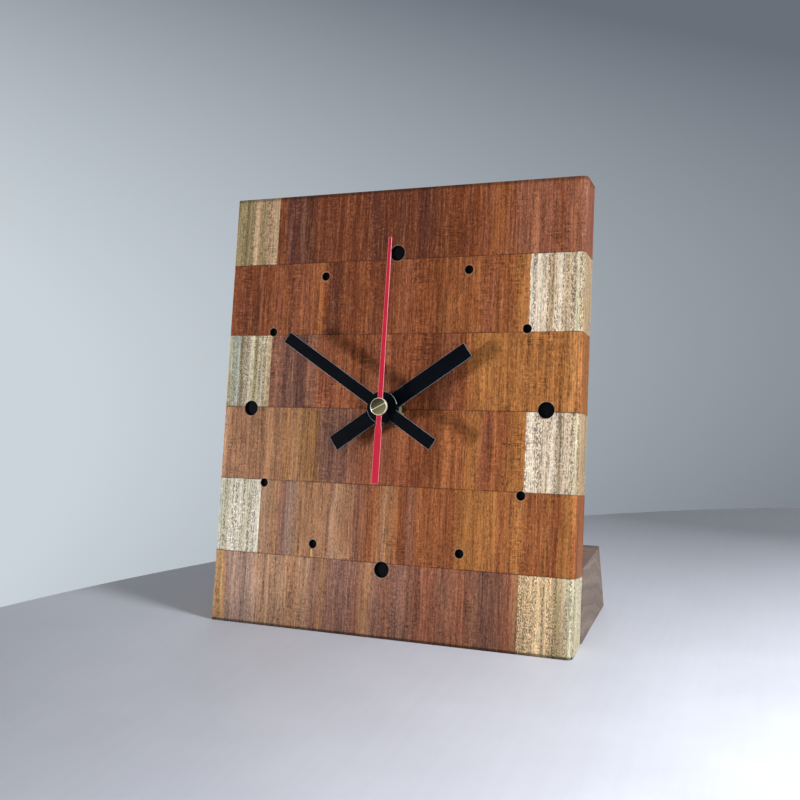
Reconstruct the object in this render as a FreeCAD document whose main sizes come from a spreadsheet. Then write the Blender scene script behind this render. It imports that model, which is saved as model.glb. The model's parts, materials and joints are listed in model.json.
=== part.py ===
import FreeCAD, Part
import math
import os
import re

import Sketcher
from FreeCAD import Placement, Rotation, Vector

# A wooden desk clock: a slab of glued wood courses that leans back on a dark block, with batons for hands
# on its front and a battery movement behind it. Millimetres and degrees.
#
# X runs to the right, Y to the back and Z up. Everything but the base block is drawn upright, with the
# face of the slab in the plane y = 0 and the foot of the face at z = 0, and its placement leans it back.
# A depth is measured backwards from the face, a height above the face forwards from it, and a direction
# is an angle seen from the front, counted from X towards Z.

LENGTHS = {
    # slab
    "slab_width": 120.0,
    "slab_thickness": 13.0,
    "end_course_height": 23.0,
    "inner_course_height": 24.0,
    "slab_right_arris_round": 1.8,
    "slab_left_arris_round": 0.4,
    "sapwood_width_1": 16.3,
    "sapwood_width_2": 16.4,
    "sapwood_width_3": 16.4,
    "sapwood_width_4": 15.9,
    "sapwood_width_5": 15.7,
    "sapwood_width_6": 16.4,
    # hour marks
    "mark_ring_radius": 50.0,
    "large_mark_diameter": 5.0,
    "small_mark_diameter": 2.8,
    "mark_hole_depth": 4.0,
    "mark_recess": 0.7,
    # base block and its dowels
    "base_height": 22.0,
    "base_depth": 40.0,
    "base_rear_setback": 8.1,
    "base_arris_round": 1.2,
    "dowel_diameter": 6.0,
    "dowel_spacing": 70.0,
    "dowel_height": 12.5,
    "dowel_in_slab": 8.0,
    "dowel_in_base": 13.0,
    "dowel_end_gap": 0.5,
    # fastening of the movement
    "shaft_hole_diameter": 8.4,
    "washer_thickness": 1.0,
    "washer_diameter": 20.0,
    "neck_diameter": 8.0,
    "neck_proud": 0.8,
    "nut_width": 10.0,
    "nut_thickness": 2.2,
    "nut_chamfer": 0.3,
    "thread_clearance": 0.05,
    # case of the movement
    "case_side": 56.0,
    "case_front_depth": 12.0,
    "case_cover_depth": 4.0,
    "case_wall": 1.4,
    "case_floor": 1.2,
    "case_corner_round": 2.0,
    "partition_height": 10.1,
    "partition_thickness": 1.0,
    "lip_width": 40.0,
    "lip_length": 1.5,
    "lip_thickness": 0.6,
    "fit_clearance": 0.1,
    # battery and contacts
    "cell_diameter": 14.5,
    "cell_length": 49.3,
    "cell_end_round": 0.6,
    "cell_nub_diameter": 5.5,
    "cell_nub_length": 1.2,
    "cell_drop": 18.3,
    "cell_clearance": 0.2,
    "contact_thickness": 0.4,
    "contact_height": 13.0,
    "contact_depth": 9.0,
    "contact_strip_width": 2.8,
    "contact_tab_length": 3.0,
    "contact_gap": 0.05,
    "leaf_chord": 9.0,
    "leaf_width": 6.0,
    # circuit board
    "board_width": 12.0,
    "board_height": 15.6,
    "board_thickness": 1.0,
    "board_post_diameter": 2.4,
    "board_post_spacing": 10.0,
    "board_screw_hole_diameter": 1.2,
    "chip_side": 4.0,
    "chip_thickness": 1.1,
    "chip_arris_round": 0.2,
    "crystal_diameter": 2.0,
    "crystal_length": 6.0,
    "crystal_end_round": 0.4,
    # motor
    "coil_length": 22.0,
    "coil_diameter": 8.0,
    "coil_rise": 21.4,
    "bobbin_flange_diameter": 8.6,
    "bobbin_flange_thickness": 0.8,
    "bobbin_tube_diameter": 5.4,
    "core_width": 4.0,
    "core_length": 31.0,
    "lamination_thickness": 1.0,
    "stator_leg_width": 4.0,
    "stator_bar_width": 8.4,
    "rotor_hole_diameter": 7.0,
    "magnet_diameter": 6.0,
    "magnet_thickness": 2.5,
    "magnet_bore_diameter": 1.4,
    # train
    "running_clearance": 0.05,
    "wheel_thickness": 0.6,
    "first_wheel_gap": 0.4,
    "wheel_pitch": 1.3,
    "magnet_gap": 0.7,
    "pivot_diameter": 0.6,
    "pivot_depth": 0.8,
    "arbor_diameter": 0.8,
    "hub_diameter": 1.8,
    "hub_gap": 0.2,
    "seconds_neck_diameter": 1.3,
    "minute_tube_diameter": 3.0,
    "hour_tube_diameter": 5.0,
    "stud_diameter": 1.2,
    "seconds_module": 0.21,
    "rotor_module": 0.2,
    "centre_module": 0.2,
    "cannon_module": 0.25,
    "train_plate_thickness": 1.0,
    "train_plate_gap": 0.5,
    "train_plate_edge": 1.5,
    "pillar_diameter": 2.4,
    "pillar_left": 11.0,
    "pillar_right": 13.0,
    "pillar_drop": 6.8,
    "pillar_rise": 12.2,
    # setting knob
    "setting_shaft_diameter": 2.0,
    "knob_diameter": 12.0,
    "knob_thickness": 3.0,
    "knob_gap": 0.4,
    "knob_edge_chamfer": 0.4,
    "knob_flute_diameter": 1.0,
    "knob_recess_diameter": 7.0,
    "knob_recess_depth": 0.8,
    # hands
    "hour_hand_height": 3.9,
    "minute_hand_height": 5.9,
    "second_hand_height": 7.9,
    "hand_thickness": 0.5,
    "second_hand_thickness": 0.3,
    "hour_hand_reach": 32.0,
    "hour_hand_tail": 20.5,
    "hour_hand_width": 5.1,
    "hour_hub_diameter": 9.2,
    "minute_hand_reach": 41.0,
    "minute_hand_tail": 20.4,
    "minute_hand_width": 3.9,
    "minute_hub_diameter": 10.0,
    "second_hand_reach": 53.0,
    "second_hand_tail": 23.7,
    "second_tip_width": 1.1,
    "second_root_width": 1.75,
    "second_tail_width": 2.4,
    "second_shoulder": 6.2,
    "second_hub_diameter": 4.0,
    "collet_diameter": 2.0,
    "collet_length": 1.1,
    "cap_diameter": 5.4,
    "cap_thickness": 1.0,
    "cap_rim_round": 0.3,
    "cap_dish_diameter": 4.4,
    "cap_dish_depth": 0.12,
    "cap_bore_depth": 0.5,
    # one overrun serves every cut
    "cut_overrun": 5.0,
}

ANGLES = {
    "lean_angle": 12.0,
    "hour_hand_angle": 55.4,
    "minute_hand_angle": 302.9,
    "second_hand_angle": 0.7,
    "intermediate_direction": 60.0,
    "rotor_direction": 75.0,
    "third_direction": 150.0,
    "motion_direction": -20.0,
    "nut_chamfer_angle": 30.0,
}

COUNTS = {
    "seconds_wheel_teeth": 60,
    "seconds_pinion_teeth": 8,
    "intermediate_wheel_teeth": 50,
    "intermediate_pinion_teeth": 10,
    "rotor_pinion_teeth": 10,
    "third_wheel_teeth": 60,
    "third_pinion_teeth": 8,
    "centre_wheel_teeth": 64,
    "cannon_teeth": 12,
    "minute_work_teeth": 36,
    "minute_work_pinion_teeth": 10,
    "hour_wheel_teeth": 40,
    "setting_pinion_teeth": 12,
    "knob_flutes": 24,
    "nut_sides": 6,
    "hours_per_large_mark": 3,
}

# Sizes that follow from the ones above.
FOLLOWING = {
    "slab_height": "2 * end_course_height + 4 * inner_course_height",
    "shaft_height": "end_course_height + 2 * inner_course_height",
    "foot_length": "slab_thickness / cos(lean_angle)",
    "back_shift": "-(foot_length + base_depth) / 2",
    "base_width": "slab_width",
    "case_front": "slab_thickness + washer_thickness",
    "case_inside": "case_front + case_floor",
    "case_split": "case_front + case_front_depth",
    "case_rear": "case_split + case_cover_depth",
    "case_half": "case_side / 2",
    "room_half": "case_half - case_wall",
    "neck_top": "nut_thickness + neck_proud",
    "nut_corner_radius": "nut_width / 2 / cos(180 / nut_sides)",
    "cell_depth": "case_inside + cell_clearance + cell_diameter / 2",
    "cell_left": "-(cell_length + cell_nub_length) / 2",
    "hour_layer": "case_inside + first_wheel_gap",
    "minute_layer": "hour_layer + wheel_pitch",
    "centre_layer": "minute_layer + wheel_pitch",
    "third_layer": "centre_layer + wheel_pitch",
    "seconds_layer": "third_layer + wheel_pitch",
    "rotor_layer": "seconds_layer + wheel_pitch",
    "magnet_front": "rotor_layer + wheel_thickness + magnet_gap",
    "magnet_rear": "magnet_front + magnet_thickness",
    "stator_front": "magnet_front + (magnet_thickness - lamination_thickness) / 2",
    "stator_rear": "stator_front + lamination_thickness",
    "core_depth": "stator_front - lamination_thickness / 2",
    "train_plate_front": "magnet_rear + train_plate_gap",
    "train_plate_rear": "train_plate_front + train_plate_thickness",
    "board_front": "stator_front",
    "board_rear": "board_front + board_thickness",
    "board_left": "-(room_half - contact_thickness - 2 * fit_clearance)",
    "board_bottom": "contact_thickness + 2 * fit_clearance - (partition_height - partition_thickness / 2)",
    "pivot_front": "case_inside - pivot_depth + running_clearance",
    "intermediate_distance": "seconds_module * (seconds_wheel_teeth + intermediate_pinion_teeth) / 2",
    "rotor_distance": "rotor_module * (intermediate_wheel_teeth + rotor_pinion_teeth) / 2",
    "third_distance": "centre_module * (centre_wheel_teeth + third_pinion_teeth) / 2",
    "third_module": "2 * third_distance / (third_wheel_teeth + seconds_pinion_teeth)",
    "motion_distance": "cannon_module * (cannon_teeth + minute_work_teeth) / 2",
    "hour_module": "2 * motion_distance / (hour_wheel_teeth + minute_work_pinion_teeth)",
    "setting_distance": "cannon_module * (minute_work_teeth + setting_pinion_teeth) / 2",
    "centre_x": "0",
    "centre_z": "0",
    "intermediate_x": "intermediate_distance * cos(intermediate_direction)",
    "intermediate_z": "intermediate_distance * sin(intermediate_direction)",
    "rotor_x": "intermediate_x + rotor_distance * cos(rotor_direction)",
    "rotor_z": "intermediate_z + rotor_distance * sin(rotor_direction)",
    "third_x": "third_distance * cos(third_direction)",
    "third_z": "third_distance * sin(third_direction)",
    "motion_x": "motion_distance * cos(motion_direction)",
    "motion_z": "motion_distance * sin(motion_direction)",
    "setting_x": "motion_x + setting_distance * cos(motion_direction)",
    "setting_z": "motion_z + setting_distance * sin(motion_direction)",
}

# Hour marks are drilled by eye, so some sit a little off their true angle.
HOURS = range(1, 13)
MARK_DRIFT_DEGREES = {1: -1.1, 3: -0.6, 7: -1.0, 9: -0.6}
SAPWOOD_SIDES = ("left", "right", "left", "right", "left", "right")

# Shape of a tooth, in shares of the module (height) and of the tooth pitch (half width).
WHEEL_TOOTH_SHARES = {"tip": 0.85, "root": 1.2, "tip_width": 0.07, "middle_width": 0.21, "root_width": 0.25}
PINION_TOOTH_SHARES = {"tip": 0.6, "root": 1.35, "tip_width": 0.10, "middle_width": 0.19, "root_width": 0.20}

FULL_TURN = 360.0
HALF_TURN = 180.0
AXES = {"X": Vector(1, 0, 0), "Y": Vector(0, 1, 0), "Z": Vector(0, 0, 1)}
LEAN_AXIS = Vector(-1, 0, 0)

doc = FreeCAD.newDocument("desk_clock")
nodes = []


# Sheet and values

def make_sheet():
    sheet = doc.addObject("Spreadsheet::Sheet", "Sizes")
    row = 1
    for table in (LENGTHS, ANGLES, COUNTS):
        for name, number in table.items():
            sheet.set(f"A{row}", name)
            sheet.set(f"B{row}", str(number))
            sheet.setAlias(f"B{row}", name)
            row += 1
    doc.recompute()
    return sheet


def make_following():
    values = doc.addObject("App::VarSet", "Following")
    for name, formula in FOLLOWING.items():
        values.addProperty("App::PropertyFloat", name)
        values.setExpression(name, bound(formula))
        doc.recompute()
    return values


def bound(formula):
    """Writes a formula's names as the sheet's cells or the values that follow from them."""
    def full_name(found):
        name = found.group(0)
        if name in FOLLOWING:
            return f"Following.{name}"
        if name in LENGTHS or name in ANGLES or name in COUNTS:
            return f"Sizes.{name}"
        return name
    return re.sub(r"[a-z][a-z_]*[a-z0-9]*(?:_[0-9])?", full_name, str(formula))


def value(name):
    return float(getattr(following if name in FOLLOWING else sheet, name))


def bind(thing, **formulas):
    for name, formula in formulas.items():
        thing.setExpression(name, bound(formula))


def bind_place(thing, x=0, y=0, z=0):
    for letter, formula in (("x", x), ("y", y), ("z", z)):
        if formula:
            thing.setExpression(f"Placement.Base.{letter}", bound(formula))


# Simple solids and booleans

def box(name, size, corner):
    """A box with its size and its lowest corner given as formulas."""
    thing = doc.addObject("Part::Box", name)
    bind(thing, Length=size[0], Width=size[1], Height=size[2])
    bind_place(thing, *corner)
    return thing


def rod(name, diameter, length, along, start):
    """A cylinder that runs from its start along an axis of the drawing."""
    thing = doc.addObject("Part::Cylinder", name)
    thing.Placement = Placement(Vector(), Rotation(AXES["Z"], AXES[along]))
    bind(thing, Radius=f"({diameter}) / 2", Height=length)
    bind_place(thing, *start)
    return thing


def shaft_rod(name, diameter, front, rear, x="centre_x", z="centre_z"):
    """A cylinder along the hands' axis, between two depths, at a place beside that axis."""
    return rod(name, diameter, f"{rear} - ({front})", "Y", (x, front, f"shaft_height + {z}"))


def beside(axis):
    """Where an axis lies beside the hands' axis."""
    return f"{axis}_x", f"{axis}_z"


def cut(name, base, *tools):
    tool = tools[0] if len(tools) == 1 else fuse(f"{name}_tools", *tools)
    thing = doc.addObject("Part::Cut", name)
    thing.Base = base
    thing.Tool = tool
    return thing


def fuse(name, *parts):
    thing = doc.addObject("Part::MultiFuse", name)
    thing.Shapes = list(parts)
    return thing


def common(name, first, second):
    thing = doc.addObject("Part::MultiCommon", name)
    thing.Shapes = [first, second]
    return thing


def group(name, *parts):
    thing = doc.addObject("Part::Compound", name)
    thing.Links = list(parts)
    return thing


def rounded(name, base, radius, chosen, kind="Part::Fillet"):
    """The base with a round or a chamfer on its chosen edges."""
    doc.recompute()
    thing = doc.addObject(kind, name)
    thing.Base = base
    size = value(radius)
    thing.Edges = [(number, size, size) for number, edge in enumerate(base.Shape.Edges, 1) if chosen(edge)]
    return thing


def is_rim(edge):
    return len(edge.Vertexes) == 1


def is_along(edge, letter):
    direction = edge.tangentAt(edge.FirstParameter)
    return abs(direction.dot(AXES[letter])) > direction.cross(AXES[letter]).Length


def rounded_box(name, size, corner, radius, along="Z"):
    """A box whose four edges along one axis are rounded."""
    def is_chosen(edge):
        return is_along(edge, along)

    return rounded(name, box(f"{name}_blank", size, corner), radius, is_chosen)


# Sketched solids

def outline(body, plane, points):
    """A closed outline of straight lines through points given as pairs of formulas."""
    sketch = body.newObject("Sketcher::SketchObject", f"{body.Name}_outline")
    support = next(item for item in body.Origin.OriginFeatures if item.Role == plane)
    sketch.AttachmentSupport = [(support, "")]
    sketch.MapMode = "FlatFace"
    count = len(points)
    turns = [Vector(math.cos(math.tau * i / count), math.sin(math.tau * i / count), 0) for i in range(count)]
    for i in range(count):
        sketch.addGeometry(Part.LineSegment(turns[i], turns[(i + 1) % count]), False)
    for i in range(count):
        sketch.addConstraint(Sketcher.Constraint("Coincident", i, 2, (i + 1) % count, 1))
    for i, (across, up) in enumerate(points):
        for kind, letter, formula in (("DistanceX", "across", across), ("DistanceY", "up", up)):
            start = turns[i].x if kind == "DistanceX" else turns[i].y
            number = sketch.addConstraint(Sketcher.Constraint(kind, -1, 1, i, 1, start))
            sketch.renameConstraint(number, f"{letter}_{i}")
            sketch.setExpression(f"Constraints.{letter}_{i}", bound(formula))
    return sketch


def pad(body, sketch, length, name="pad"):
    feature = body.newObject("PartDesign::Pad", f"{body.Name}_{name}")
    feature.Profile = sketch
    bind(feature, Length=length)
    return feature


def disc(body, name, diameter):
    """A round sketch on the hands' axis, on the plane of the outline."""
    sketch = body.newObject("Sketcher::SketchObject", f"{body.Name}_{name}")
    support = next(item for item in body.Origin.OriginFeatures if item.Role == "XZ_Plane")
    sketch.AttachmentSupport = [(support, "")]
    sketch.MapMode = "FlatFace"
    sketch.addGeometry(Part.Circle(Vector(), AXES["Z"], value("minute_tube_diameter")), False)
    sketch.addConstraint(Sketcher.Constraint("Coincident", 0, 3, -1, 1))
    number = sketch.addConstraint(Sketcher.Constraint("Diameter", 0, value("minute_tube_diameter")))
    sketch.renameConstraint(number, "across")
    sketch.setExpression("Constraints.across", bound(diameter))
    return sketch


def set_on_face(sketch, height, clockwise=None):
    """Lifts a sketch to a height above the face, centred on the shaft and turned clockwise."""
    turn = value(clockwise) if clockwise else 0
    sketch.AttachmentOffset = Placement(Vector(), Rotation(-AXES["Z"], turn))
    bind(sketch, **{"AttachmentOffset.Base.y": "shaft_height", "AttachmentOffset.Base.z": height})
    if clockwise:
        bind(sketch, **{"AttachmentOffset.Rotation.Angle": clockwise})


def hand(node, points, hub, height, thickness, bore, clockwise):
    """A flat hand: its outline, a round hub and the hole for its tube."""
    body = doc.addObject("PartDesign::Body", node)
    blade = outline(body, "XZ_Plane", points)
    set_on_face(blade, height, clockwise)
    pad(body, blade, thickness, "blade")
    hub_disc = disc(body, "hub", hub)
    set_on_face(hub_disc, height)
    pad(body, hub_disc, thickness, "hub_plate")
    hole = disc(body, "hole", bore)
    set_on_face(hole, height)
    pocket = body.newObject("PartDesign::Pocket", f"{node}_bore")
    pocket.Profile = hole
    pocket.Type = "ThroughAll"
    pocket.Midplane = True
    keep(body, node)


# Placing and keeping

def lean(thing):
    thing.Placement = Placement(Vector(), Rotation(LEAN_AXIS, value("lean_angle")))
    thing.setExpression("Placement.Rotation.Angle", bound("lean_angle"))
    thing.setExpression("Placement.Base.y", bound("back_shift"))


def keep(thing, node, upright=False):
    """Names a finished sub-part and puts it in its place in the clock."""
    if upright:
        thing.setExpression("Placement.Base.y", bound("back_shift"))
    else:
        lean(thing)
    thing.Label = node
    nodes.append(thing)


# Wooden slab, hour marks, base block

def is_large(hour):
    return hour % value("hours_per_large_mark") == 0


def mark_places():
    """Centre of each hour mark as two formulas, with its diameter's name."""
    places = {}
    for hour in HOURS:
        angle = hour * FULL_TURN / len(HOURS) + MARK_DRIFT_DEGREES.get(hour, 0)
        size = "large_mark_diameter" if is_large(hour) else "small_mark_diameter"
        across = f"mark_ring_radius * sin({angle})"
        up = f"shaft_height + mark_ring_radius * cos({angle})"
        places[hour] = (across, up, size)
    return places


def drill_marks(name, front, depth, hours=HOURS):
    rods = []
    for hour, (across, up, size) in mark_places().items():
        if hour in hours:
            rods.append(rod(f"{name}_{hour}", size, depth, "Y", (across, front, up)))
    return rods


def dowel_rods(name, diameter, in_slab, in_base):
    """Two rods across the joint between the slab's rear and the base block."""
    rods = []
    for side in (-1, 1):
        start = (f"{side} * dowel_spacing / 2", f"slab_thickness - ({in_slab})", "dowel_height")
        rods.append(rod(f"{name}_{side + 1}", diameter, f"{in_slab} + {in_base}", "Y", start))
    return rods


def make_slab():
    """Twelve blocks: in each course a long one of heartwood and a short one of sapwood."""
    size = ("slab_width", "slab_thickness", "slab_height")
    blank = box("slab_blank", size, ("-slab_width / 2", 0, 0))

    def is_right(edge):
        return is_along(edge, "Z") and edge.CenterOfMass.x > 0

    def is_left(edge):
        return is_along(edge, "Z") and edge.CenterOfMass.x < 0

    blank = rounded("slab_right_arrises", blank, "slab_right_arris_round", is_right)
    blank = rounded("slab_left_arrises", blank, "slab_left_arris_round", is_left)
    room = ("slab_width + 2 * cut_overrun", "2 * slab_thickness", "slab_thickness")
    below = box("floor_side", room, (0, 0, 0))
    below.Placement = Placement(Vector(), Rotation(AXES["X"], value("lean_angle")))
    below.setExpression("Placement.Rotation.Angle", bound("lean_angle"))
    bind_place(
        below,
        "-(slab_width / 2 + cut_overrun)",
        "slab_thickness * sin(lean_angle) - slab_thickness * cos(lean_angle) / 2",
        "-slab_thickness * cos(lean_angle) - slab_thickness * sin(lean_angle) / 2",
    )
    through = "slab_thickness + cut_overrun"
    shaft_hole = shaft_rod("shaft_hole", "shaft_hole_diameter", "-cut_overrun", through)
    marks = drill_marks("mark_hole", "-cut_overrun", "mark_hole_depth + cut_overrun")
    dowels = dowel_rods("dowel_hole", "dowel_diameter", "dowel_in_slab + dowel_end_gap", "cut_overrun")
    slab = cut("drilled_slab", blank, below, shaft_hole, *marks, *dowels)
    top = "slab_height"
    for course, side in enumerate(SAPWOOD_SIDES, 1):
        tall = "end_course_height" if course in (1, len(SAPWOOD_SIDES)) else "inner_course_height"
        short = f"sapwood_width_{course}"
        widths = {"heartwood": f"slab_width - {short}", "sapwood": short}
        for wood, wide in widths.items():
            at_left = (side == "left") == (wood == "sapwood")
            left = "-slab_width / 2" if at_left else f"slab_width / 2 - ({wide})"
            room = box(
                f"course_{course}_{wood}_room",
                (wide, "slab_thickness + 2 * cut_overrun", tall),
                (left, "-cut_overrun", f"{top} - {tall}"),
            )
            keep(common(f"course_{course}_{wood}_block", slab, room), f"course_{course}_{wood}")
        top = f"{top} - {tall}"


def make_marks():
    """Black filling at the bottom of each drilled hole, a little below the face."""
    depth = "mark_hole_depth - mark_recess"
    for size, large in (("large", True), ("small", False)):
        hours = [hour for hour in HOURS if is_large(hour) == large]
        fillings = drill_marks(f"{size}_filling", "mark_recess", depth, hours)
        keep(group(f"{size}_fillings", *fillings), f"{size}_hour_marks")


def make_base():
    """The block's front follows the rear of the slab, its back leans forward and its top is level."""
    body = doc.addObject("PartDesign::Body", "base_body")
    sketch = outline(body, "YZ_Plane", [
        ("foot_length", "0"),
        ("foot_length + base_depth", "0"),
        ("foot_length + base_depth - base_rear_setback", "base_height"),
        ("foot_length + base_height * tan(lean_angle)", "base_height"),
    ])
    feature = pad(body, sketch, "base_width", "block")
    feature.Midplane = True
    doc.recompute()
    half = value("base_width") / 2
    ends = []
    for number, edge in enumerate(feature.Shape.Edges, 1):
        middle = edge.CenterOfMass
        if abs(abs(middle.x) - half) < half / 1000 and edge.BoundBox.ZLength > half / 1000:
            ends.append(f"Edge{number}")
    arrises = body.newObject("PartDesign::Fillet", "base_arrises")
    arrises.Base = (feature, ends)
    bind(arrises, Radius="base_arris_round")
    body.Tip = arrises
    leaning = []
    for tool in dowel_rods("base_hole", "dowel_diameter", "cut_overrun", "dowel_in_base + dowel_end_gap"):
        holder = group(f"{tool.Name}_leaning", tool)
        holder.Placement = Placement(Vector(), Rotation(LEAN_AXIS, value("lean_angle")))
        holder.setExpression("Placement.Rotation.Angle", bound("lean_angle"))
        leaning.append(holder)
    keep(cut("base_drilled", body, *leaning), "base_block", upright=True)
    dowels = dowel_rods("dowel", "dowel_diameter", "dowel_in_slab", "dowel_in_base")
    keep(group("dowel_pair", *dowels), "base_dowels")


# Movement case and its fastening

def board_post(side):
    """Place of the lower or the upper post under the circuit board."""
    middle = "board_bottom + board_height / 2"
    return "board_left + board_width / 2", f"{middle} + {side} * board_post_spacing / 2"


def make_front_case():
    """Open tray with a threaded neck, a partition beside the battery, and posts for the works."""
    shell = rounded_box(
        "front_shell",
        ("case_side", "case_front_depth", "case_side"),
        ("-case_half", "case_front", "shaft_height - case_half"),
        "case_corner_round",
        "Y",
    )
    room = box(
        "front_room",
        ("2 * room_half", "case_front_depth", "2 * room_half"),
        ("-room_half", "case_inside", "shaft_height - room_half"),
    )
    tray = cut("front_tray", shell, room)
    neck = shaft_rod("neck", "neck_diameter", "-neck_top", "case_inside")
    partition = box(
        "front_partition",
        ("2 * room_half", "case_split - case_inside", "partition_thickness"),
        ("-room_half", "case_inside", "shaft_height - partition_height - partition_thickness / 2"),
    )
    floor = "case_inside"
    posts = [
        shaft_rod(f"board_post_{side + 1}", "board_post_diameter", floor, "board_front", *board_post(side))
        for side in (-1, 1)
    ]
    pillars = [
        shaft_rod(f"pillar_{number}", "pillar_diameter", floor, "train_plate_front", x, z)
        for number, (x, z) in enumerate(PILLARS)
    ]
    stud_end = "minute_layer + wheel_thickness + hub_gap"
    stud = shaft_rod("minute_work_stud", "stud_diameter", floor, stud_end, *beside("motion"))
    solid = fuse("front_case_solid", tray, neck, partition, stud, *posts, *pillars)
    tools = [shaft_rod("neck_bore", "hour_tube_diameter + 2 * running_clearance", "-neck_top - cut_overrun",
                       "case_inside + cut_overrun")]
    ends = ("case_inside - pivot_depth", "case_inside + pivot_depth")
    for axis in PIVOTED:
        wide = "pivot_diameter + 2 * running_clearance"
        tools.append(shaft_rod(f"{axis}_pivot_hole", wide, *ends, *beside(axis)))
    wide = "setting_shaft_diameter + 2 * running_clearance"
    tools.append(shaft_rod("setting_pivot_hole", wide, *ends, *beside("setting")))
    notch_wide = "(2 * contact_thickness + fit_clearance)"
    notch_low = "shaft_height - partition_height - partition_thickness / 2 - fit_clearance"
    for side in (-1, 1):
        left = "-room_half" if side < 0 else f"room_half - {notch_wide}"
        tools.append(box(
            f"partition_notch_{side + 1}",
            (notch_wide, "case_front_depth", "partition_thickness + 2 * fit_clearance"),
            (left, "board_rear - contact_strip_width", notch_low),
        ))
    keep(cut("front_case_cut", solid, *tools), "front_case")


def make_rear_cover():
    """Lid with the battery's window, the continued partition and a lip that locates it."""
    shell = rounded_box(
        "cover_shell",
        ("case_side", "case_cover_depth", "case_side"),
        ("-case_half", "case_split", "shaft_height - case_half"),
        "case_corner_round",
        "Y",
    )
    room = box(
        "cover_room",
        ("2 * room_half", "case_cover_depth", "2 * room_half"),
        ("-room_half", "case_split - case_floor", "shaft_height - room_half"),
    )
    lid = cut("cover_tray", shell, room)
    partition = box(
        "cover_partition",
        ("2 * room_half", "case_cover_depth - case_floor", "partition_thickness"),
        ("-room_half", "case_split", "shaft_height - partition_height - partition_thickness / 2"),
    )
    lip_low = "shaft_height + room_half - lip_thickness - fit_clearance"
    lip = box(
        "cover_lip",
        ("lip_width", "lip_length + case_cover_depth - case_floor", "lip_thickness"),
        ("-lip_width / 2", "case_split - lip_length", lip_low),
    )
    rib = box(
        "cover_lip_root",
        ("lip_width", "case_cover_depth - case_floor", "lip_thickness + fit_clearance"),
        ("-lip_width / 2", "case_split", lip_low),
    )
    solid = fuse("cover_solid", lid, partition, lip, rib)
    window_low = "shaft_height - cell_drop - cell_diameter / 2 - cell_clearance"
    window = box(
        "battery_window",
        ("2 * room_half", "case_floor + 2 * cut_overrun", "cell_diameter + 2 * cell_clearance"),
        ("-room_half", "case_rear - case_floor - cut_overrun", window_low),
    )
    hole = shaft_rod("setting_hole", "setting_shaft_diameter + 2 * running_clearance", "case_split",
                     "case_rear + cut_overrun", *beside("setting"))
    keep(cut("cover_cut", solid, window, hole), "rear_cover")


def make_fastening():
    washer = shaft_rod("washer_disc", "washer_diameter", "slab_thickness", "case_front")
    hole = shaft_rod("washer_hole", "neck_diameter + 2 * thread_clearance", "slab_thickness - cut_overrun",
                     "case_front + cut_overrun")
    keep(cut("washer_ring", washer, hole), "rubber_washer")
    prism = doc.addObject("Part::Prism", "nut_prism")
    prism.Placement = Placement(Vector(), Rotation(AXES["Z"], AXES["Y"]))
    bind(prism, Polygon="nut_sides", Circumradius="nut_corner_radius", Height="nut_thickness")
    bind_place(prism, 0, "-nut_thickness", "shaft_height")
    crown = doc.addObject("Part::Cone", "nut_crown")
    crown.Placement = Placement(Vector(), Rotation(AXES["Z"], AXES["Y"]))
    wide = "nut_corner_radius - nut_chamfer"
    growth = "nut_thickness / tan(nut_chamfer_angle)"
    bind(crown, Radius1=wide, Radius2=f"{wide} + {growth}", Height="nut_thickness")
    bind_place(crown, 0, "-nut_thickness", "shaft_height")
    bore_wide = "neck_diameter + 2 * thread_clearance"
    bore = shaft_rod("nut_bore", bore_wide, "-nut_thickness - cut_overrun", "cut_overrun")
    keep(cut("nut_drilled", common("nut_chamfered", prism, crown), bore), "hex_nut")


# Battery, contacts and circuit board

def make_battery():
    low = "shaft_height - cell_drop"
    can = rod("cell_can", "cell_diameter", "cell_length", "X", ("cell_left", "cell_depth", low))
    rims = rounded("cell_rims", can, "cell_end_round", is_rim)
    nub_start = ("cell_left + cell_length - cell_end_round", "cell_depth", low)
    nub = rod("cell_nub", "cell_nub_diameter", "cell_nub_length + cell_end_round", "X", nub_start)
    keep(fuse("cell", rims, nub), "battery")


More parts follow.
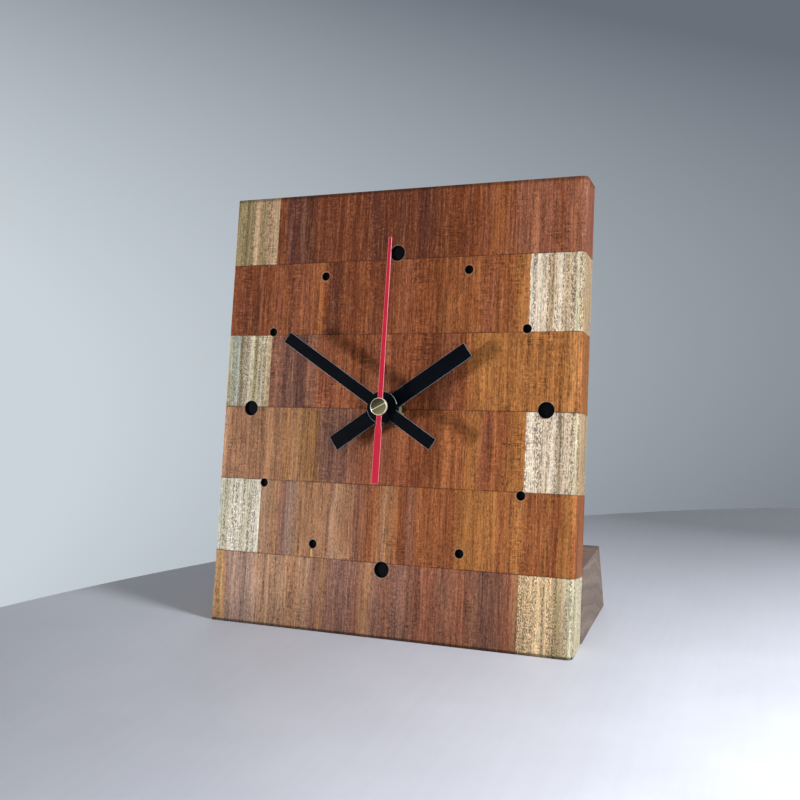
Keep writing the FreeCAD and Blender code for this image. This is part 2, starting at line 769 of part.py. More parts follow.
def make_contacts():
    """Two sprung strips at the battery's ends, each with a tail that ends on the board."""
    low = "shaft_height - cell_drop - contact_height / 2"
    front = "case_inside + contact_thickness"
    strip_front = "board_rear + contact_thickness - contact_strip_width"
    strip_low = "shaft_height - partition_height + partition_thickness / 2"
    left = "-room_half"
    plate = box("minus_plate", ("contact_thickness", "contact_depth", "contact_height"), (left, front, low))
    tail_tall = f"shaft_height + board_bottom + contact_tab_length - ({low})"
    tail = box(
        "minus_tail",
        ("contact_thickness", "contact_strip_width", tail_tall),
        (left, strip_front, low),
    )
    tab_wide = "contact_thickness + 2 * fit_clearance + contact_tab_length"
    tab = box(
        "minus_tab",
        (tab_wide, "contact_thickness", "contact_tab_length"),
        (left, "board_rear", "shaft_height + board_bottom"),
    )
    leaf = doc.addObject("Part::Feature", "minus_leaf")
    leaf.Shape = leaf_shape()
    keep(fuse("minus_contact", plate, tail, tab, leaf), "contact_negative")
    right = "room_half - contact_thickness"
    plate = box("plus_plate", ("contact_thickness", "contact_depth", "contact_height"), (right, front, low))
    riser = box(
        "plus_riser",
        ("contact_thickness", "contact_strip_width", f"{strip_low} + contact_thickness - ({low})"),
        (right, strip_front, low),
    )
    run_left = "board_left + board_width - contact_tab_length"
    run = box(
        "plus_run",
        (f"room_half - ({run_left})", "contact_strip_width", "contact_thickness"),
        (run_left, strip_front, strip_low),
    )
    tab = box(
        "plus_tab",
        ("contact_tab_length", "contact_thickness", "contact_tab_length"),
        (run_left, "board_rear", strip_low),
    )
    face = "cell_left + cell_length + cell_nub_length + contact_gap"
    dimple = rod("plus_dimple", "cell_nub_diameter", f"room_half - ({face})", "X",
                 (face, "cell_depth", "shaft_height - cell_drop"))
    keep(fuse("plus_contact", plate, riser, run, tab, dimple), "contact_positive")


def leaf_shape():
    """Bowed strip that presses on the flat end of the battery."""
    start_x = -value("room_half") + value("contact_thickness")
    bow = value("cell_left") - value("contact_gap") - start_x
    thick = value("contact_thickness")
    half = value("leaf_chord") / 2
    middle = value("shaft_height") - value("cell_drop")
    front = value("cell_depth") - value("leaf_width") / 2

    def arc(shift):
        reach = half - shift
        points = [
            Vector(start_x, front, middle - reach),
            Vector(start_x + bow - shift, front, middle),
            Vector(start_x, front, middle + reach),
        ]
        return Part.Arc(*points).toShape(), points

    outer, outer_ends = arc(0)
    inner, inner_ends = arc(thick)
    near, far = (Part.makeLine(outer_ends[i], inner_ends[i]) for i in (0, -1))
    strip = Part.Face(Part.Wire(Part.sortEdges([outer, far, inner, near])[0]))
    return strip.extrude(AXES["Y"] * value("leaf_width"))


def make_board():
    low = "shaft_height + board_bottom"
    size = ("board_width", "board_thickness", "board_height")
    board = box("board_plate", size, ("board_left", "board_front", low))
    holes = [
        shaft_rod(f"board_hole_{side + 1}", "board_screw_hole_diameter", "board_front - cut_overrun",
                  "board_rear + cut_overrun", *board_post(side))
        for side in (-1, 1)
    ]
    keep(cut("board_drilled", board, *holes), "circuit_board")
    centre_x = "board_left + board_width / 2"
    centre_z = "shaft_height + board_bottom + board_height / 2"
    chip = rounded_box(
        "chip_body",
        ("chip_side", "chip_thickness", "chip_side"),
        (f"{centre_x} - chip_side / 2", "board_rear", f"{centre_z} - chip_side / 2"),
        "chip_arris_round",
        "Y",
    )
    keep(chip, "control_chip")
    start = (f"{centre_x} + chip_side / 2 + crystal_diameter", "board_rear + crystal_diameter / 2",
             f"{centre_z} - crystal_length / 2")
    can = rod("crystal_can", "crystal_diameter", "crystal_length", "Z", start)
    keep(rounded("crystal_rims", can, "crystal_end_round", is_rim), "quartz_crystal")


# Motor

def coil_rod(name, diameter, length):
    return rod(name, diameter, length, "X", (f"-({length}) / 2", "core_depth", "shaft_height + coil_rise"))


def core_bar(name, clearance="0"):
    """The flat bar through the coil, or the hole for it with some clearance."""
    return box(
        name,
        ("core_length", f"lamination_thickness + 2 * {clearance}", f"core_width + 2 * {clearance}"),
        ("-core_length / 2", f"core_depth - lamination_thickness / 2 - {clearance}",
         f"shaft_height + coil_rise - core_width / 2 - {clearance}"),
    )


def make_motor():
    keep(group("core", core_bar("core_bar")), "coil_core")
    tube = coil_rod("bobbin_tube", "bobbin_tube_diameter", "coil_length")
    flanges = [
        rod(f"bobbin_flange_{side + 1}", "bobbin_flange_diameter", "bobbin_flange_thickness", "X",
            (f"{side} * (coil_length - bobbin_flange_thickness) / 2 - bobbin_flange_thickness / 2",
             "core_depth", "shaft_height + coil_rise"))
        for side in (-1, 1)
    ]
    bobbin = fuse("bobbin_solid", tube, *flanges)
    keep(cut("bobbin_holed", bobbin, core_bar("bobbin_hole", "fit_clearance")), "coil_bobbin")
    wound = coil_rod("winding_outside", "coil_diameter", "coil_length - 2 * bobbin_flange_thickness")
    inside = coil_rod("winding_inside", "bobbin_tube_diameter", "coil_length")
    keep(cut("winding", wound, inside), "coil_winding")
    half = "core_length / 2"
    bar_low = "shaft_height + rotor_z - stator_bar_width / 2"
    top = "shaft_height + coil_rise + core_width / 2"
    legs = [
        box(f"stator_leg_{side + 1}", ("stator_leg_width", "lamination_thickness", f"{top} - ({bar_low})"),
            (f"-{half}" if side < 0 else f"{half} - stator_leg_width", "stator_front", bar_low))
        for side in (-1, 1)
    ]
    foot_size = ("core_length", "lamination_thickness", "stator_bar_width")
    foot = box("stator_bar", foot_size, (f"-{half}", "stator_front", bar_low))
    solid = fuse("stator_solid", foot, *legs)
    through = ("stator_front - cut_overrun", "stator_rear + cut_overrun")
    tools = [shaft_rod("rotor_hole", "rotor_hole_diameter", *through, *beside("rotor"))]
    wide = "pillar_diameter + 2 * fit_clearance"
    for number, (x, z) in enumerate(PILLARS):
        tools.append(shaft_rod(f"stator_pillar_hole_{number}", wide, *through, x, z))
    keep(cut("stator_cut", solid, *tools), "stator")


def make_train_plate():
    """Carries the rear ends of the arbors on four pillars."""
    left = "-(pillar_left + pillar_diameter / 2 + train_plate_edge)"
    low = "-(pillar_drop + pillar_diameter / 2)"
    plate = rounded_box(
        "train_plate_blank",
        (f"pillar_right + pillar_diameter / 2 + train_plate_edge - ({left})", "train_plate_thickness",
         f"rotor_z + pillar_diameter / 2 + 2 * train_plate_edge - ({low})"),
        (left, "train_plate_front", f"shaft_height + {low}"),
        "train_plate_edge",
        "Y",
    )
    through = ("train_plate_front - cut_overrun", "train_plate_rear + cut_overrun")
    diameters = {axis: "pivot_diameter" for axis in PIVOTED}
    diameters.update(centre="arbor_diameter", setting="setting_shaft_diameter")
    tools = [
        shaft_rod(f"{axis}_rear_hole", f"{wide} + 2 * running_clearance", *through, *beside(axis))
        for axis, wide in diameters.items()
    ]
    keep(cut("train_plate_drilled", plate, *tools), "train_plate")


# Wheels

def mesh_phase(direction, driver_phase, driver_teeth, driven_teeth):
    """Angle of a tooth of the driven wheel that meshes with a driver seen at that direction."""
    driver, driven = value(driver_teeth), value(driven_teeth)
    return direction + HALF_TURN - (driver_phase - direction) * driver / driven - HALF_TURN / driven


def toothed(name, teeth, module, shares, phase, layer, axis="centre"):
    """A toothed disc whose outline follows from its teeth, its module and the shares of a tooth."""
    count, size, depth = int(value(teeth)), value(module), value(layer)
    middle_x, middle_z = value(f"{axis}_x"), value("shaft_height") + value(f"{axis}_z")
    pitch_radius = size * count / 2
    rings = (
        (pitch_radius - shares["root"] * size, shares["root_width"]),
        (pitch_radius, shares["middle_width"]),
        (pitch_radius + shares["tip"] * size, shares["tip_width"]),
    )
    rising = [(radius, -width) for radius, width in rings]
    falling = [(radius, width) for radius, width in reversed(rings)]
    corners = []
    for tooth in range(count):
        middle = math.radians(phase) + math.tau * tooth / count
        for radius, width in rising + falling:
            angle = middle + width * math.pi * size / radius
            x, z = middle_x + radius * math.cos(angle), middle_z + radius * math.sin(angle)
            corners.append(Vector(x, depth, z))
    flat = Part.Face(Part.makePolygon(corners + corners[:1]))
    thing = doc.addObject("Part::Feature", name)
    thing.Shape = flat.extrude(AXES["Y"] * value("wheel_thickness"))
    return thing


def pivots(axis):
    """An arbor between the pivot hole in the case's floor and the train plate."""
    return shaft_rod(f"{axis}_arbor", "pivot_diameter", "pivot_front", "train_plate_rear", *beside(axis))


def pinion_neck(axis, teeth, module, front, rear):
    """A plain stretch just thinner than the root of a pinion."""
    return shaft_rod(f"{axis}_neck", f"{module} * ({teeth} - 3)", front, rear, *beside(axis))


def make_seconds_train():
    """Seconds wheel, what turns it from the motor and what it turns on the way to the minute hand."""
    wheel, pinion = WHEEL_TOOTH_SHARES, PINION_TOOTH_SHARES
    seconds = fuse(
        "seconds_solid",
        toothed("seconds_rim", "seconds_wheel_teeth", "seconds_module", wheel, 0, "seconds_layer"),
        toothed("seconds_pinion", "seconds_pinion_teeth", "third_module", pinion, 0, "third_layer"),
        shaft_rod("seconds_hub", "hub_diameter", "seconds_layer", "train_plate_front - hub_gap"),
        shaft_rod("seconds_neck", "seconds_neck_diameter", "third_layer + wheel_thickness", "seconds_layer"),
    )
    bore = shaft_rod("seconds_bore", "arbor_diameter", "centre_layer", "train_plate_rear")
    keep(cut("seconds_bored", seconds, bore), "seconds_wheel")
    arbor_top = "second_hand_height + second_hand_thickness + cap_bore_depth"
    staff = shaft_rod("seconds_staff", "arbor_diameter", f"-({arbor_top})", "train_plate_rear")
    keep(group("seconds_axis", staff), "seconds_arbor")

    direction = value("intermediate_direction")
    phase = mesh_phase(direction, 0, "seconds_wheel_teeth", "intermediate_pinion_teeth")
    axis = "intermediate"
    teeth, module = "intermediate_pinion_teeth", "seconds_module"
    rim_teeth, rim_rear = "intermediate_wheel_teeth", "rotor_layer + wheel_thickness"
    keep(fuse(
        "intermediate_solid",
        toothed("intermediate_pinion", teeth, module, pinion, phase, "seconds_layer", axis),
        toothed("intermediate_rim", rim_teeth, "rotor_module", wheel, 0, "rotor_layer", axis),
        pinion_neck(axis, teeth, module, "seconds_layer", rim_rear),
        pivots(axis),
    ), "intermediate_wheel")

    phase = mesh_phase(value("rotor_direction"), 0, "intermediate_wheel_teeth", "rotor_pinion_teeth")
    place = beside("rotor")
    keep(fuse(
        "rotor_solid",
        toothed("rotor_teeth", "rotor_pinion_teeth", "rotor_module", pinion, phase, "rotor_layer", "rotor"),
        shaft_rod("rotor_hub", "magnet_bore_diameter", rim_rear, "magnet_rear", *place),
        pivots("rotor"),
    ), "rotor_pinion")
    magnet = shaft_rod("magnet_disc", "magnet_diameter", "magnet_front", "magnet_rear", *place)
    bore = shaft_rod("magnet_bore", "magnet_bore_diameter", "rotor_layer", "train_plate_rear", *place)
    keep(cut("magnet_bored", magnet, bore), "rotor_magnet")

    direction = value("third_direction")
    phase = mesh_phase(direction, 0, "seconds_pinion_teeth", "third_wheel_teeth")
    teeth, module = "third_pinion_teeth", "centre_module"
    keep(fuse(
        "third_solid",
        toothed("third_rim", "third_wheel_teeth", "third_module", wheel, phase, "third_layer", "third"),
        toothed("third_pinion", teeth, module, pinion, 0, "centre_layer", "third"),
        pinion_neck("third", teeth, module, "centre_layer", "third_layer + wheel_thickness"),
        pivots("third"),
    ), "third_wheel")

    phase = mesh_phase(direction + HALF_TURN, 0, "third_pinion_teeth", "centre_wheel_teeth")
    centre = toothed("centre_rim", "centre_wheel_teeth", "centre_module", wheel, phase, "centre_layer")
    bore = shaft_rod("centre_bore", "hub_diameter + 2 * running_clearance", "minute_layer", "third_layer")
    keep(cut("centre_bored", centre, bore), "centre_wheel")


def make_motion_work():
    """Cannon of the minute hand, the wheel beside it, the hour wheel with its tube, and the setting shaft."""
    wheel, pinion = WHEEL_TOOTH_SHARES, PINION_TOOTH_SHARES
    cannon_top = "minute_hand_height + hand_thickness"
    cannon_rear = "centre_layer + wheel_thickness + hub_gap"
    cannon = fuse(
        "cannon_solid",
        toothed("cannon_pinion", "cannon_teeth", "cannon_module", pinion, 0, "minute_layer"),
        shaft_rod("cannon_tube", "minute_tube_diameter", f"-({cannon_top})", "minute_layer - hub_gap"),
        shaft_rod("cannon_hub", "hub_diameter", "minute_layer - hub_gap", cannon_rear),
    )
    bore = shaft_rod("cannon_bore", "arbor_diameter + 2 * running_clearance", f"-({cannon_top})", cannon_rear)
    keep(cut("cannon_bored", cannon, bore), "minute_cannon")

    direction = value("motion_direction")
    place = beside("motion")
    work_phase = mesh_phase(direction, 0, "cannon_teeth", "minute_work_teeth")
    teeth, pinion_teeth = "minute_work_teeth", "minute_work_pinion_teeth"
    work = fuse(
        "minute_work_solid",
        toothed("minute_work_rim", teeth, "cannon_module", wheel, work_phase, "minute_layer", "motion"),
        toothed("minute_work_pinion", pinion_teeth, "hour_module", pinion, 0, "hour_layer", "motion"),
        shaft_rod("minute_work_neck", "hub_diameter", "hour_layer + wheel_thickness", "minute_layer", *place),
    )
    wide = "stud_diameter + 2 * running_clearance"
    bore = shaft_rod("minute_work_bore", wide, "hour_layer", "centre_layer", *place)
    keep(cut("minute_work_bored", work, bore), "minute_work_wheel")

    phase = mesh_phase(direction + HALF_TURN, 0, "minute_work_pinion_teeth", "hour_wheel_teeth")
    hour_top = "hour_hand_height + hand_thickness"
    hour = fuse(
        "hour_solid",
        toothed("hour_rim", "hour_wheel_teeth", "hour_module", wheel, phase, "hour_layer"),
        shaft_rod("hour_tube", "hour_tube_diameter", f"-({hour_top})", "hour_layer"),
    )
    wide = "minute_tube_diameter + 2 * running_clearance"
    bore = shaft_rod("hour_bore", wide, f"-({hour_top})", "minute_layer")
    keep(cut("hour_bored", hour, bore), "hour_wheel")

    phase = mesh_phase(direction, work_phase, "minute_work_teeth", "setting_pinion_teeth")
    shaft_rear = "case_rear + knob_gap + knob_thickness - knob_recess_depth"
    teeth = "setting_pinion_teeth"
    keep(fuse(
        "setting_solid",
        toothed("setting_pinion", teeth, "cannon_module", pinion, phase, "minute_layer", "setting"),
        shaft_rod("setting_rod", "setting_shaft_diameter", "pivot_front", shaft_rear, *beside("setting")),
    ), "setting_shaft")


def make_knob():
    """Fluted knob pressed on the rear end of the setting shaft."""
    front = "case_rear + knob_gap"
    rear = f"{front} + knob_thickness"
    place = beside("setting")
    blank = shaft_rod("knob_blank", "knob_diameter", front, rear, *place)
    edge = rounded("knob_edge", blank, "knob_edge_chamfer", is_rim, "Part::Chamfer")
    through = (f"{front} - cut_overrun", f"{rear} + cut_overrun")
    tools = [
        shaft_rod("knob_bore", "setting_shaft_diameter", *through, *place),
        shaft_rod("knob_recess", "knob_recess_diameter", f"{rear} - knob_recess_depth", through[1], *place),
    ]
    reach = "(knob_diameter / 2 + knob_flute_diameter / 4)"
    for number in range(int(value("knob_flutes"))):
        turn = f"360 / knob_flutes * {number}"
        x, z = f"setting_x + {reach} * cos({turn})", f"setting_z + {reach} * sin({turn})"
        tools.append(shaft_rod(f"knob_flute_{number}", "knob_flute_diameter", *through, x, z))
    keep(cut("knob_cut", edge, *tools), "setting_knob")


# Hands

def baton(width, reach, tail):
    """Outline of a plain baton, pointing up."""
    return [
        (f"-{width} / 2", f"-{tail}"),
        (f"{width} / 2", f"-{tail}"),
        (f"{width} / 2", reach),
        (f"-{width} / 2", reach),
    ]


def make_hands():
    blade = baton("hour_hand_width", "hour_hand_reach", "hour_hand_tail")
    hand("hour_hand", blade, "hour_hub_diameter", "hour_hand_height", "hand_thickness",
         "hour_tube_diameter", "hour_hand_angle")
    blade = baton("minute_hand_width", "minute_hand_reach", "minute_hand_tail")
    hand("minute_hand", blade, "minute_hub_diameter", "minute_hand_height", "hand_thickness",
         "minute_tube_diameter", "minute_hand_angle")
    needle = [
        ("-second_tail_width / 2", "-second_hand_tail"),
        ("second_tail_width / 2", "-second_hand_tail"),
        ("second_tail_width / 2", "-second_shoulder"),
        ("second_root_width / 2", "-second_shoulder"),
        ("second_tip_width / 2", "second_hand_reach"),
        ("-second_tip_width / 2", "second_hand_reach"),
        ("-second_root_width / 2", "-second_shoulder"),
        ("-second_tail_width / 2", "-second_shoulder"),
    ]
    hand("second_hand", needle, "second_hub_diameter", "second_hand_height", "second_hand_thickness",
         "arbor_diameter", "second_hand_angle")
    rear = "collet_length - second_hand_height"
    collet = shaft_rod("collet_rod", "collet_diameter", "-second_hand_height", rear)
    bore = shaft_rod("collet_bore", "arbor_diameter", "-second_hand_height - cut_overrun", "cut_overrun")
    keep(cut("collet", collet, bore), "second_hand_collet")


def make_cap():
    """Turned cap with a rounded rim, a shallow dish and a blind bore for the arbor."""
    low = "second_hand_height + second_hand_thickness"
    top = f"{low} + cap_thickness"
    blank = shaft_rod("cap_blank", "cap_diameter", f"-({top})", f"-({low})")
    middle = -(value("second_hand_height") + value("second_hand_thickness") + value("cap_thickness") / 2)

    def is_front_rim(edge):
        return is_rim(edge) and edge.CenterOfMass.y < middle

    rim = rounded("cap_rim", blank, "cap_rim_round", is_front_rim)
    bore = shaft_rod("cap_bore", "arbor_diameter", f"-({low} + cap_bore_depth)", f"-({low}) + cut_overrun")
    dish = shaft_rod("cap_dish", "cap_dish_diameter", f"-({top}) - cut_overrun", f"-({top}) + cap_dish_depth")
    keep(cut("cap_turned", rim, bore, dish), "second_hand_cap")


# Writing

def check_and_write():
    doc.recompute()
    for thing in doc.Objects:
        if "Invalid" in thing.State or "Error" in thing.State:
            raise RuntimeError(f"{thing.Name} failed: {thing.State}")
    os.makedirs("parts", exist_ok=True)
    for thing in nodes:
        shape = thing.Shape
        if shape.isNull() or not shape.isValid() or not shape.Solids:
            raise RuntimeError(f"{thing.Label} has no sound shape")
        shape.exportStep(os.path.join("parts", f"{thing.Label}.step"))
        print(f"{thing.Label}: {len(shape.Solids)} solid(s), {shape.Volume:.2f} mm3")
    print(f"{len(nodes)} sub-parts")


sheet = make_sheet()
following = make_following()

# Places beside the hands' axis: pillars of the train plate, and arbors that turn in the case and the plate.
PILLARS = (
    ("-pillar_left", "-pillar_drop"),
    ("pillar_right", "-pillar_drop"),
    ("-pillar_left", "pillar_rise"),
    ("pillar_right", "pillar_rise"),
)
PIVOTED = ("intermediate", "rotor", "third")

make_slab()
make_marks()
make_base()
make_front_case()
make_rear_cover()
make_fastening()
make_battery()
make_contacts()
make_board()
make_motor()
make_train_plate()
make_seconds_train()
make_motion_work()
make_knob()
make_hands()
make_cap()
check_and_write()
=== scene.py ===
import json
import math

import bmesh
import bpy
from bpy.props import FloatProperty, FloatVectorProperty, PointerProperty
from mathutils import Matrix, Vector


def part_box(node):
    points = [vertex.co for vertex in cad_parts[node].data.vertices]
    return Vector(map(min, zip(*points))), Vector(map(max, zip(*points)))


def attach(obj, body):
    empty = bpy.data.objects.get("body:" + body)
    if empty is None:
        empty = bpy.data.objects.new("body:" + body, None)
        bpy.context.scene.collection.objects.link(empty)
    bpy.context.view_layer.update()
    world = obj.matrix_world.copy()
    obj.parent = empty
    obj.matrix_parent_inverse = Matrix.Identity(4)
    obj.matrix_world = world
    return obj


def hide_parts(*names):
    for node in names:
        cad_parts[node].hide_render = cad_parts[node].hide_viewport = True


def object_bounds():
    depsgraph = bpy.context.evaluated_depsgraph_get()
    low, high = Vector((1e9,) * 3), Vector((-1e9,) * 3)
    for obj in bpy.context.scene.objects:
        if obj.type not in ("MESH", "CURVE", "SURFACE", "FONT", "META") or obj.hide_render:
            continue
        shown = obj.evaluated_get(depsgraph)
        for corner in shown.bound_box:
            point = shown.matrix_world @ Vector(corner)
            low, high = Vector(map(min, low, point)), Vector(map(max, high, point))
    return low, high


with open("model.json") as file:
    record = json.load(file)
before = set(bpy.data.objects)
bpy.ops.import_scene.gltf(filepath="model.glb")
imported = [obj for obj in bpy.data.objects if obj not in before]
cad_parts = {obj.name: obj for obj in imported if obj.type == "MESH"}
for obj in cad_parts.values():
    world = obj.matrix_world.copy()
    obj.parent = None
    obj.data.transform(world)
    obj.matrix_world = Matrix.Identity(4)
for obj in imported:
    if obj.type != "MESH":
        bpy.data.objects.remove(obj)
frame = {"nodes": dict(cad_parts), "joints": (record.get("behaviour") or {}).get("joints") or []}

# A wooden desk clock: a slab of glued wood courses that leans back on a dark block, with batons for hands
# and a battery movement behind. The CAD pieces get their finishes, and the hands, the cap, the cell, the
# winding and the moulded signs are modelled afresh.
#
# Two sets of axes are used. The clock's own millimetres are x to the right, y behind the face and z up the
# face from its foot. The dial's axes, for what turns on the hands' axis, are x to the right, y up the face
# and z towards the reader, all from the middle of the dial.

bl_info = {
    "name": "Wooden desk clock",
    "version": (1, 0, 0),
    "blender": (4, 5, 0),
    "location": "View3D > Sidebar > Desk clock",
    "description": "Finishes and small pieces of a leaning wooden desk clock",
    "category": "Object",
}

MM = 0.001
QUARTER = math.radians(90)
HANDS_JOINT = next(joint for joint in frame["joints"] if joint["name"] == "second_spin")
SHAFT = Vector(HANDS_JOINT["pos_m"])
LEAN = math.asin(-Vector(HANDS_JOINT["axis"]).z)
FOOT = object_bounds()[0].y
DIAL = Matrix.Translation(SHAFT) @ Matrix.Rotation(-LEAN, 4, "X") @ Matrix.Rotation(QUARTER, 4, "X")

# Sizes of the CAD model that the pieces and finishes keep to, in millimetres
SHAFT_HEIGHT = 71.0
HALF_WIDTH = 60.0
# Heights of the glue lines between the courses, from the top of the slab down to its foot
JOINTS = (142.0, 119.0, 95.0, 71.0, 47.0, 23.0, 0.0)
MARK_RING = 50.0
MARK_RADII = (1.4, 2.5)
MARK_DRIFT = {1: -1.1, 3: -0.6, 7: -1.0, 9: -0.6}
MARK_DEPTH = 4.0
# Back and front of each hand's plate and of the cap, ahead of the face
HOUR_LAYER = (3.9, 4.4)
MINUTE_LAYER = (5.9, 6.4)
SECOND_LAYER = (7.9, 8.2)
CAP_LAYER = (8.2, 9.2)
CAP_RADIUS = 2.7
CASE_REAR = 30.0
CASE_HALF = 28.0
# Middles of the setting knob and of the rotor: across and up
KNOB = (11.28, 66.9)
ROTOR = (5.2279, 83.3)
# Relief of the moulded signs, and the bevel along their edges
SIGN_HEIGHT = 0.18
SIGN_EDGE = 0.06

# Edges sharper than this stay crisp
SHARP = math.radians(32)


def paint(code):
    """Linear colour of a six-digit colour code."""
    shares = [int(code[i:i + 2], 16) / 255 for i in (0, 2, 4)]
    return (*[s / 12.92 if s <= 0.04045 else ((s + 0.055) / 1.055) ** 2.4 for s in shares], 1.0)


# Tones of the bands in the woods
TONES = {
    "painted_streak": "4a281c", "umber": "623425", "plum": "643e36", "rust": "723c25", "russet": "7e4325",
    "chestnut": "864c32", "clay": "8e5640", "cinnamon": "925530", "adobe": "9c6247", "amber": "9a6233",
    "honey": "aa6e3c", "apricot": "b87f4a", "mauve": "704c40", "dusk": "8a6254", "rosewood": "825644",
    "hazel": "8a6248", "oak": "90653f", "fawn": "9e7252", "tan": "a68064", "ash": "94786a",
    "putty": "a88878", "sand": "b29276", "straw": "bf9662", "wheat": "dcbe94", "cream": "e2d2bc",
    "linen": "d8c4aa", "chalk": "cfc8b8", "flax": "b89e7c", "reed": "c6bd9e", "dove": "bcb39c",
    "silver": "a4a89a", "khaki": "968862", "pith": "7c6a4e",
}

# Bands of each block, as places across the face in millimetres with the tone there
HEARTWOOD_BANDS = {
    1: ((-41.5, "rust"), (-39, "plum"), (-36, "umber"), (-34.4, "mauve"), (-33.2, "umber"),
        (-31.6, "painted_streak"), (-30, "umber"), (-28, "rust"), (-12, "rust"), (-9.5, "umber"),
        (-6.5, "umber"), (-3, "rust"), (1, "umber"), (4.5, "rust"), (7.6, "umber"), (10, "umber"),
        (14, "rust"), (19.5, "russet"), (22.5, "rust"), (25.5, "russet"), (29, "chestnut"),
        (33, "cinnamon"), (37, "chestnut"), (40, "clay"), (43.5, "adobe"), (49, "clay"),
        (52.6, "chestnut"), (53.4, "clay"), (58, "adobe"), (60, "clay")),
    2: ((-60, "russet"), (-54, "rust"), (-51.6, "russet"), (-49.8, "umber"), (-49, "russet"),
        (-47.2, "rust"), (-46.4, "russet"), (-43, "chestnut"), (-39, "russet"), (-36.8, "umber"),
        (-36, "chestnut"), (-32, "chestnut"), (-27, "cinnamon"), (-24.6, "russet"), (-22.4, "umber"),
        (-19, "rust"), (-12, "russet"), (-7, "rust"), (-3, "russet"), (4.5, "chestnut"), (7.5, "russet"),
        (13.6, "russet"), (15.4, "cinnamon"), (28, "cinnamon"), (31.5, "chestnut"), (34.5, "cinnamon"),
        (38, "cinnamon"), (41, "honey")),
    3: ((-41, "rosewood"), (-37.6, "mauve"), (-35, "mauve"), (-31.6, "plum"), (-28, "rosewood"),
        (-25, "chestnut"), (-19, "chestnut"), (-12, "russet"), (-4, "chestnut"), (8, "russet"),
        (15, "rust"), (20, "chestnut"), (22.6, "russet"), (25, "cinnamon"), (28, "amber"), (38, "amber"),
        (43, "honey"), (46.4, "amber"), (49, "amber"), (53, "honey"), (54.6, "amber"), (58, "apricot"),
        (60, "amber")),
    4: ((-60, "tan"), (-57.6, "hazel"), (-46, "hazel"), (-43, "fawn"), (-38.4, "hazel"), (-36.6, "oak"),
        (-34, "fawn"), (-28.6, "oak"), (-24.4, "oak"), (-23.4, "mauve"), (-18, "mauve"),
        (-13, "rosewood"), (-8, "chestnut"), (0, "chestnut"), (9, "russet"), (14, "russet"),
        (17, "cinnamon"), (24, "cinnamon"), (28.2, "amber"), (30.6, "chestnut"), (32, "chestnut"),
        (34.6, "cinnamon"), (37.4, "cinnamon"), (40, "amber"), (44.1, "honey")),
    5: ((-41, "tan"), (-38, "fawn"), (-35.4, "dusk"), (-33, "ash"), (-29.4, "fawn"), (-19.6, "fawn"),
        (-18.8, "dusk"), (-17.6, "tan"), (-13, "fawn"), (-10, "rosewood"), (-4, "cinnamon"), (0, "fawn"),
        (5, "cinnamon"), (7.4, "rust"), (8.6, "rosewood"), (11, "cinnamon"), (19.5, "cinnamon"),
        (21.8, "russet"), (25, "amber"), (28, "amber"), (35, "honey"), (37.4, "cinnamon"),
        (42.6, "honey"), (45, "cinnamon"), (49.6, "cinnamon"), (51.8, "amber"), (52.4, "rust"),
        (53.2, "cinnamon"), (54.6, "russet"), (55.4, "amber"), (58.4, "honey"), (60, "cinnamon")),
    6: ((-60, "fawn"), (-57.4, "straw"), (-56.6, "fawn"), (-55, "ash"), (-52, "putty"), (-49, "ash"),
        (-46.6, "putty"), (-43, "tan"), (-34.4, "tan"), (-31, "fawn"), (-27, "tan"), (-23.6, "dusk"),
        (-19.8, "fawn"), (-18.4, "dusk"), (-11, "dusk"), (-7.5, "rosewood"), (-4.4, "fawn"),
        (-1.4, "dusk"), (2, "rosewood"), (6, "dusk"), (10.4, "rosewood"), (14, "clay"), (17, "clay"),
        (20, "rosewood"), (26, "clay"), (30, "rosewood"), (33, "mauve"), (38, "rosewood"), (41, "clay"),
        (43.6, "fawn")),
}
SAPWOOD_BANDS = {
    1: ((-60, "pith"), (-59, "khaki"), (-57.4, "khaki"), (-56.2, "pith"), (-55, "khaki"),
        (-52.6, "flax"), (-50.8, "sand"), (-49.6, "khaki"), (-47.6, "sand"), (-43.7, "flax")),
    2: ((46, "cream"), (49, "linen"), (50.4, "flax"), (52.6, "cream"), (55.2, "flax"), (56.6, "linen"),
        (58.4, "reed"), (60, "flax")),
    3: ((-60, "khaki"), (-58, "silver"), (-55.8, "silver"), (-54.8, "pith"), (-53.6, "dove"),
        (-51, "dove"), (-49.4, "khaki"), (-47.4, "dove"), (-43.6, "flax")),
    4: ((47, "cream"), (50, "linen"), (52.4, "cream"), (53.6, "linen"), (54.2, "pith"), (54.9, "linen"),
        (57.6, "linen"), (58.8, "reed"), (60, "flax")),
    5: ((-60, "silver"), (-57, "dove"), (-55, "chalk"), (-52, "chalk"), (-49.4, "dove"), (-47, "chalk")),
    6: ((53.4, "wheat"), (54.2, "flax"), (55.2, "khaki"), (56.8, "flax"), (58.2, "reed")),
}
# How bright each course's wood is beside its tones: heartwood, sapwood. The top two courses are kept darker
# partly as painted shade, where less light falls
PALENESS_AND_SHADE = {1: (0.85, 0.91), 2: (0.86, 0.93), 3: (0.92, 0.98), 4: (0.94, 0.96), 5: (0.90, 0.98),
            6: (0.91, 1.07)}
# How strongly the layers of grain show in heartwood and sapwood: fibre, thread, grit, rays
GRAIN = ((2.0, 1.6, 1.9, 1.9), (1.5, 1.0, 1.6, 1.8))

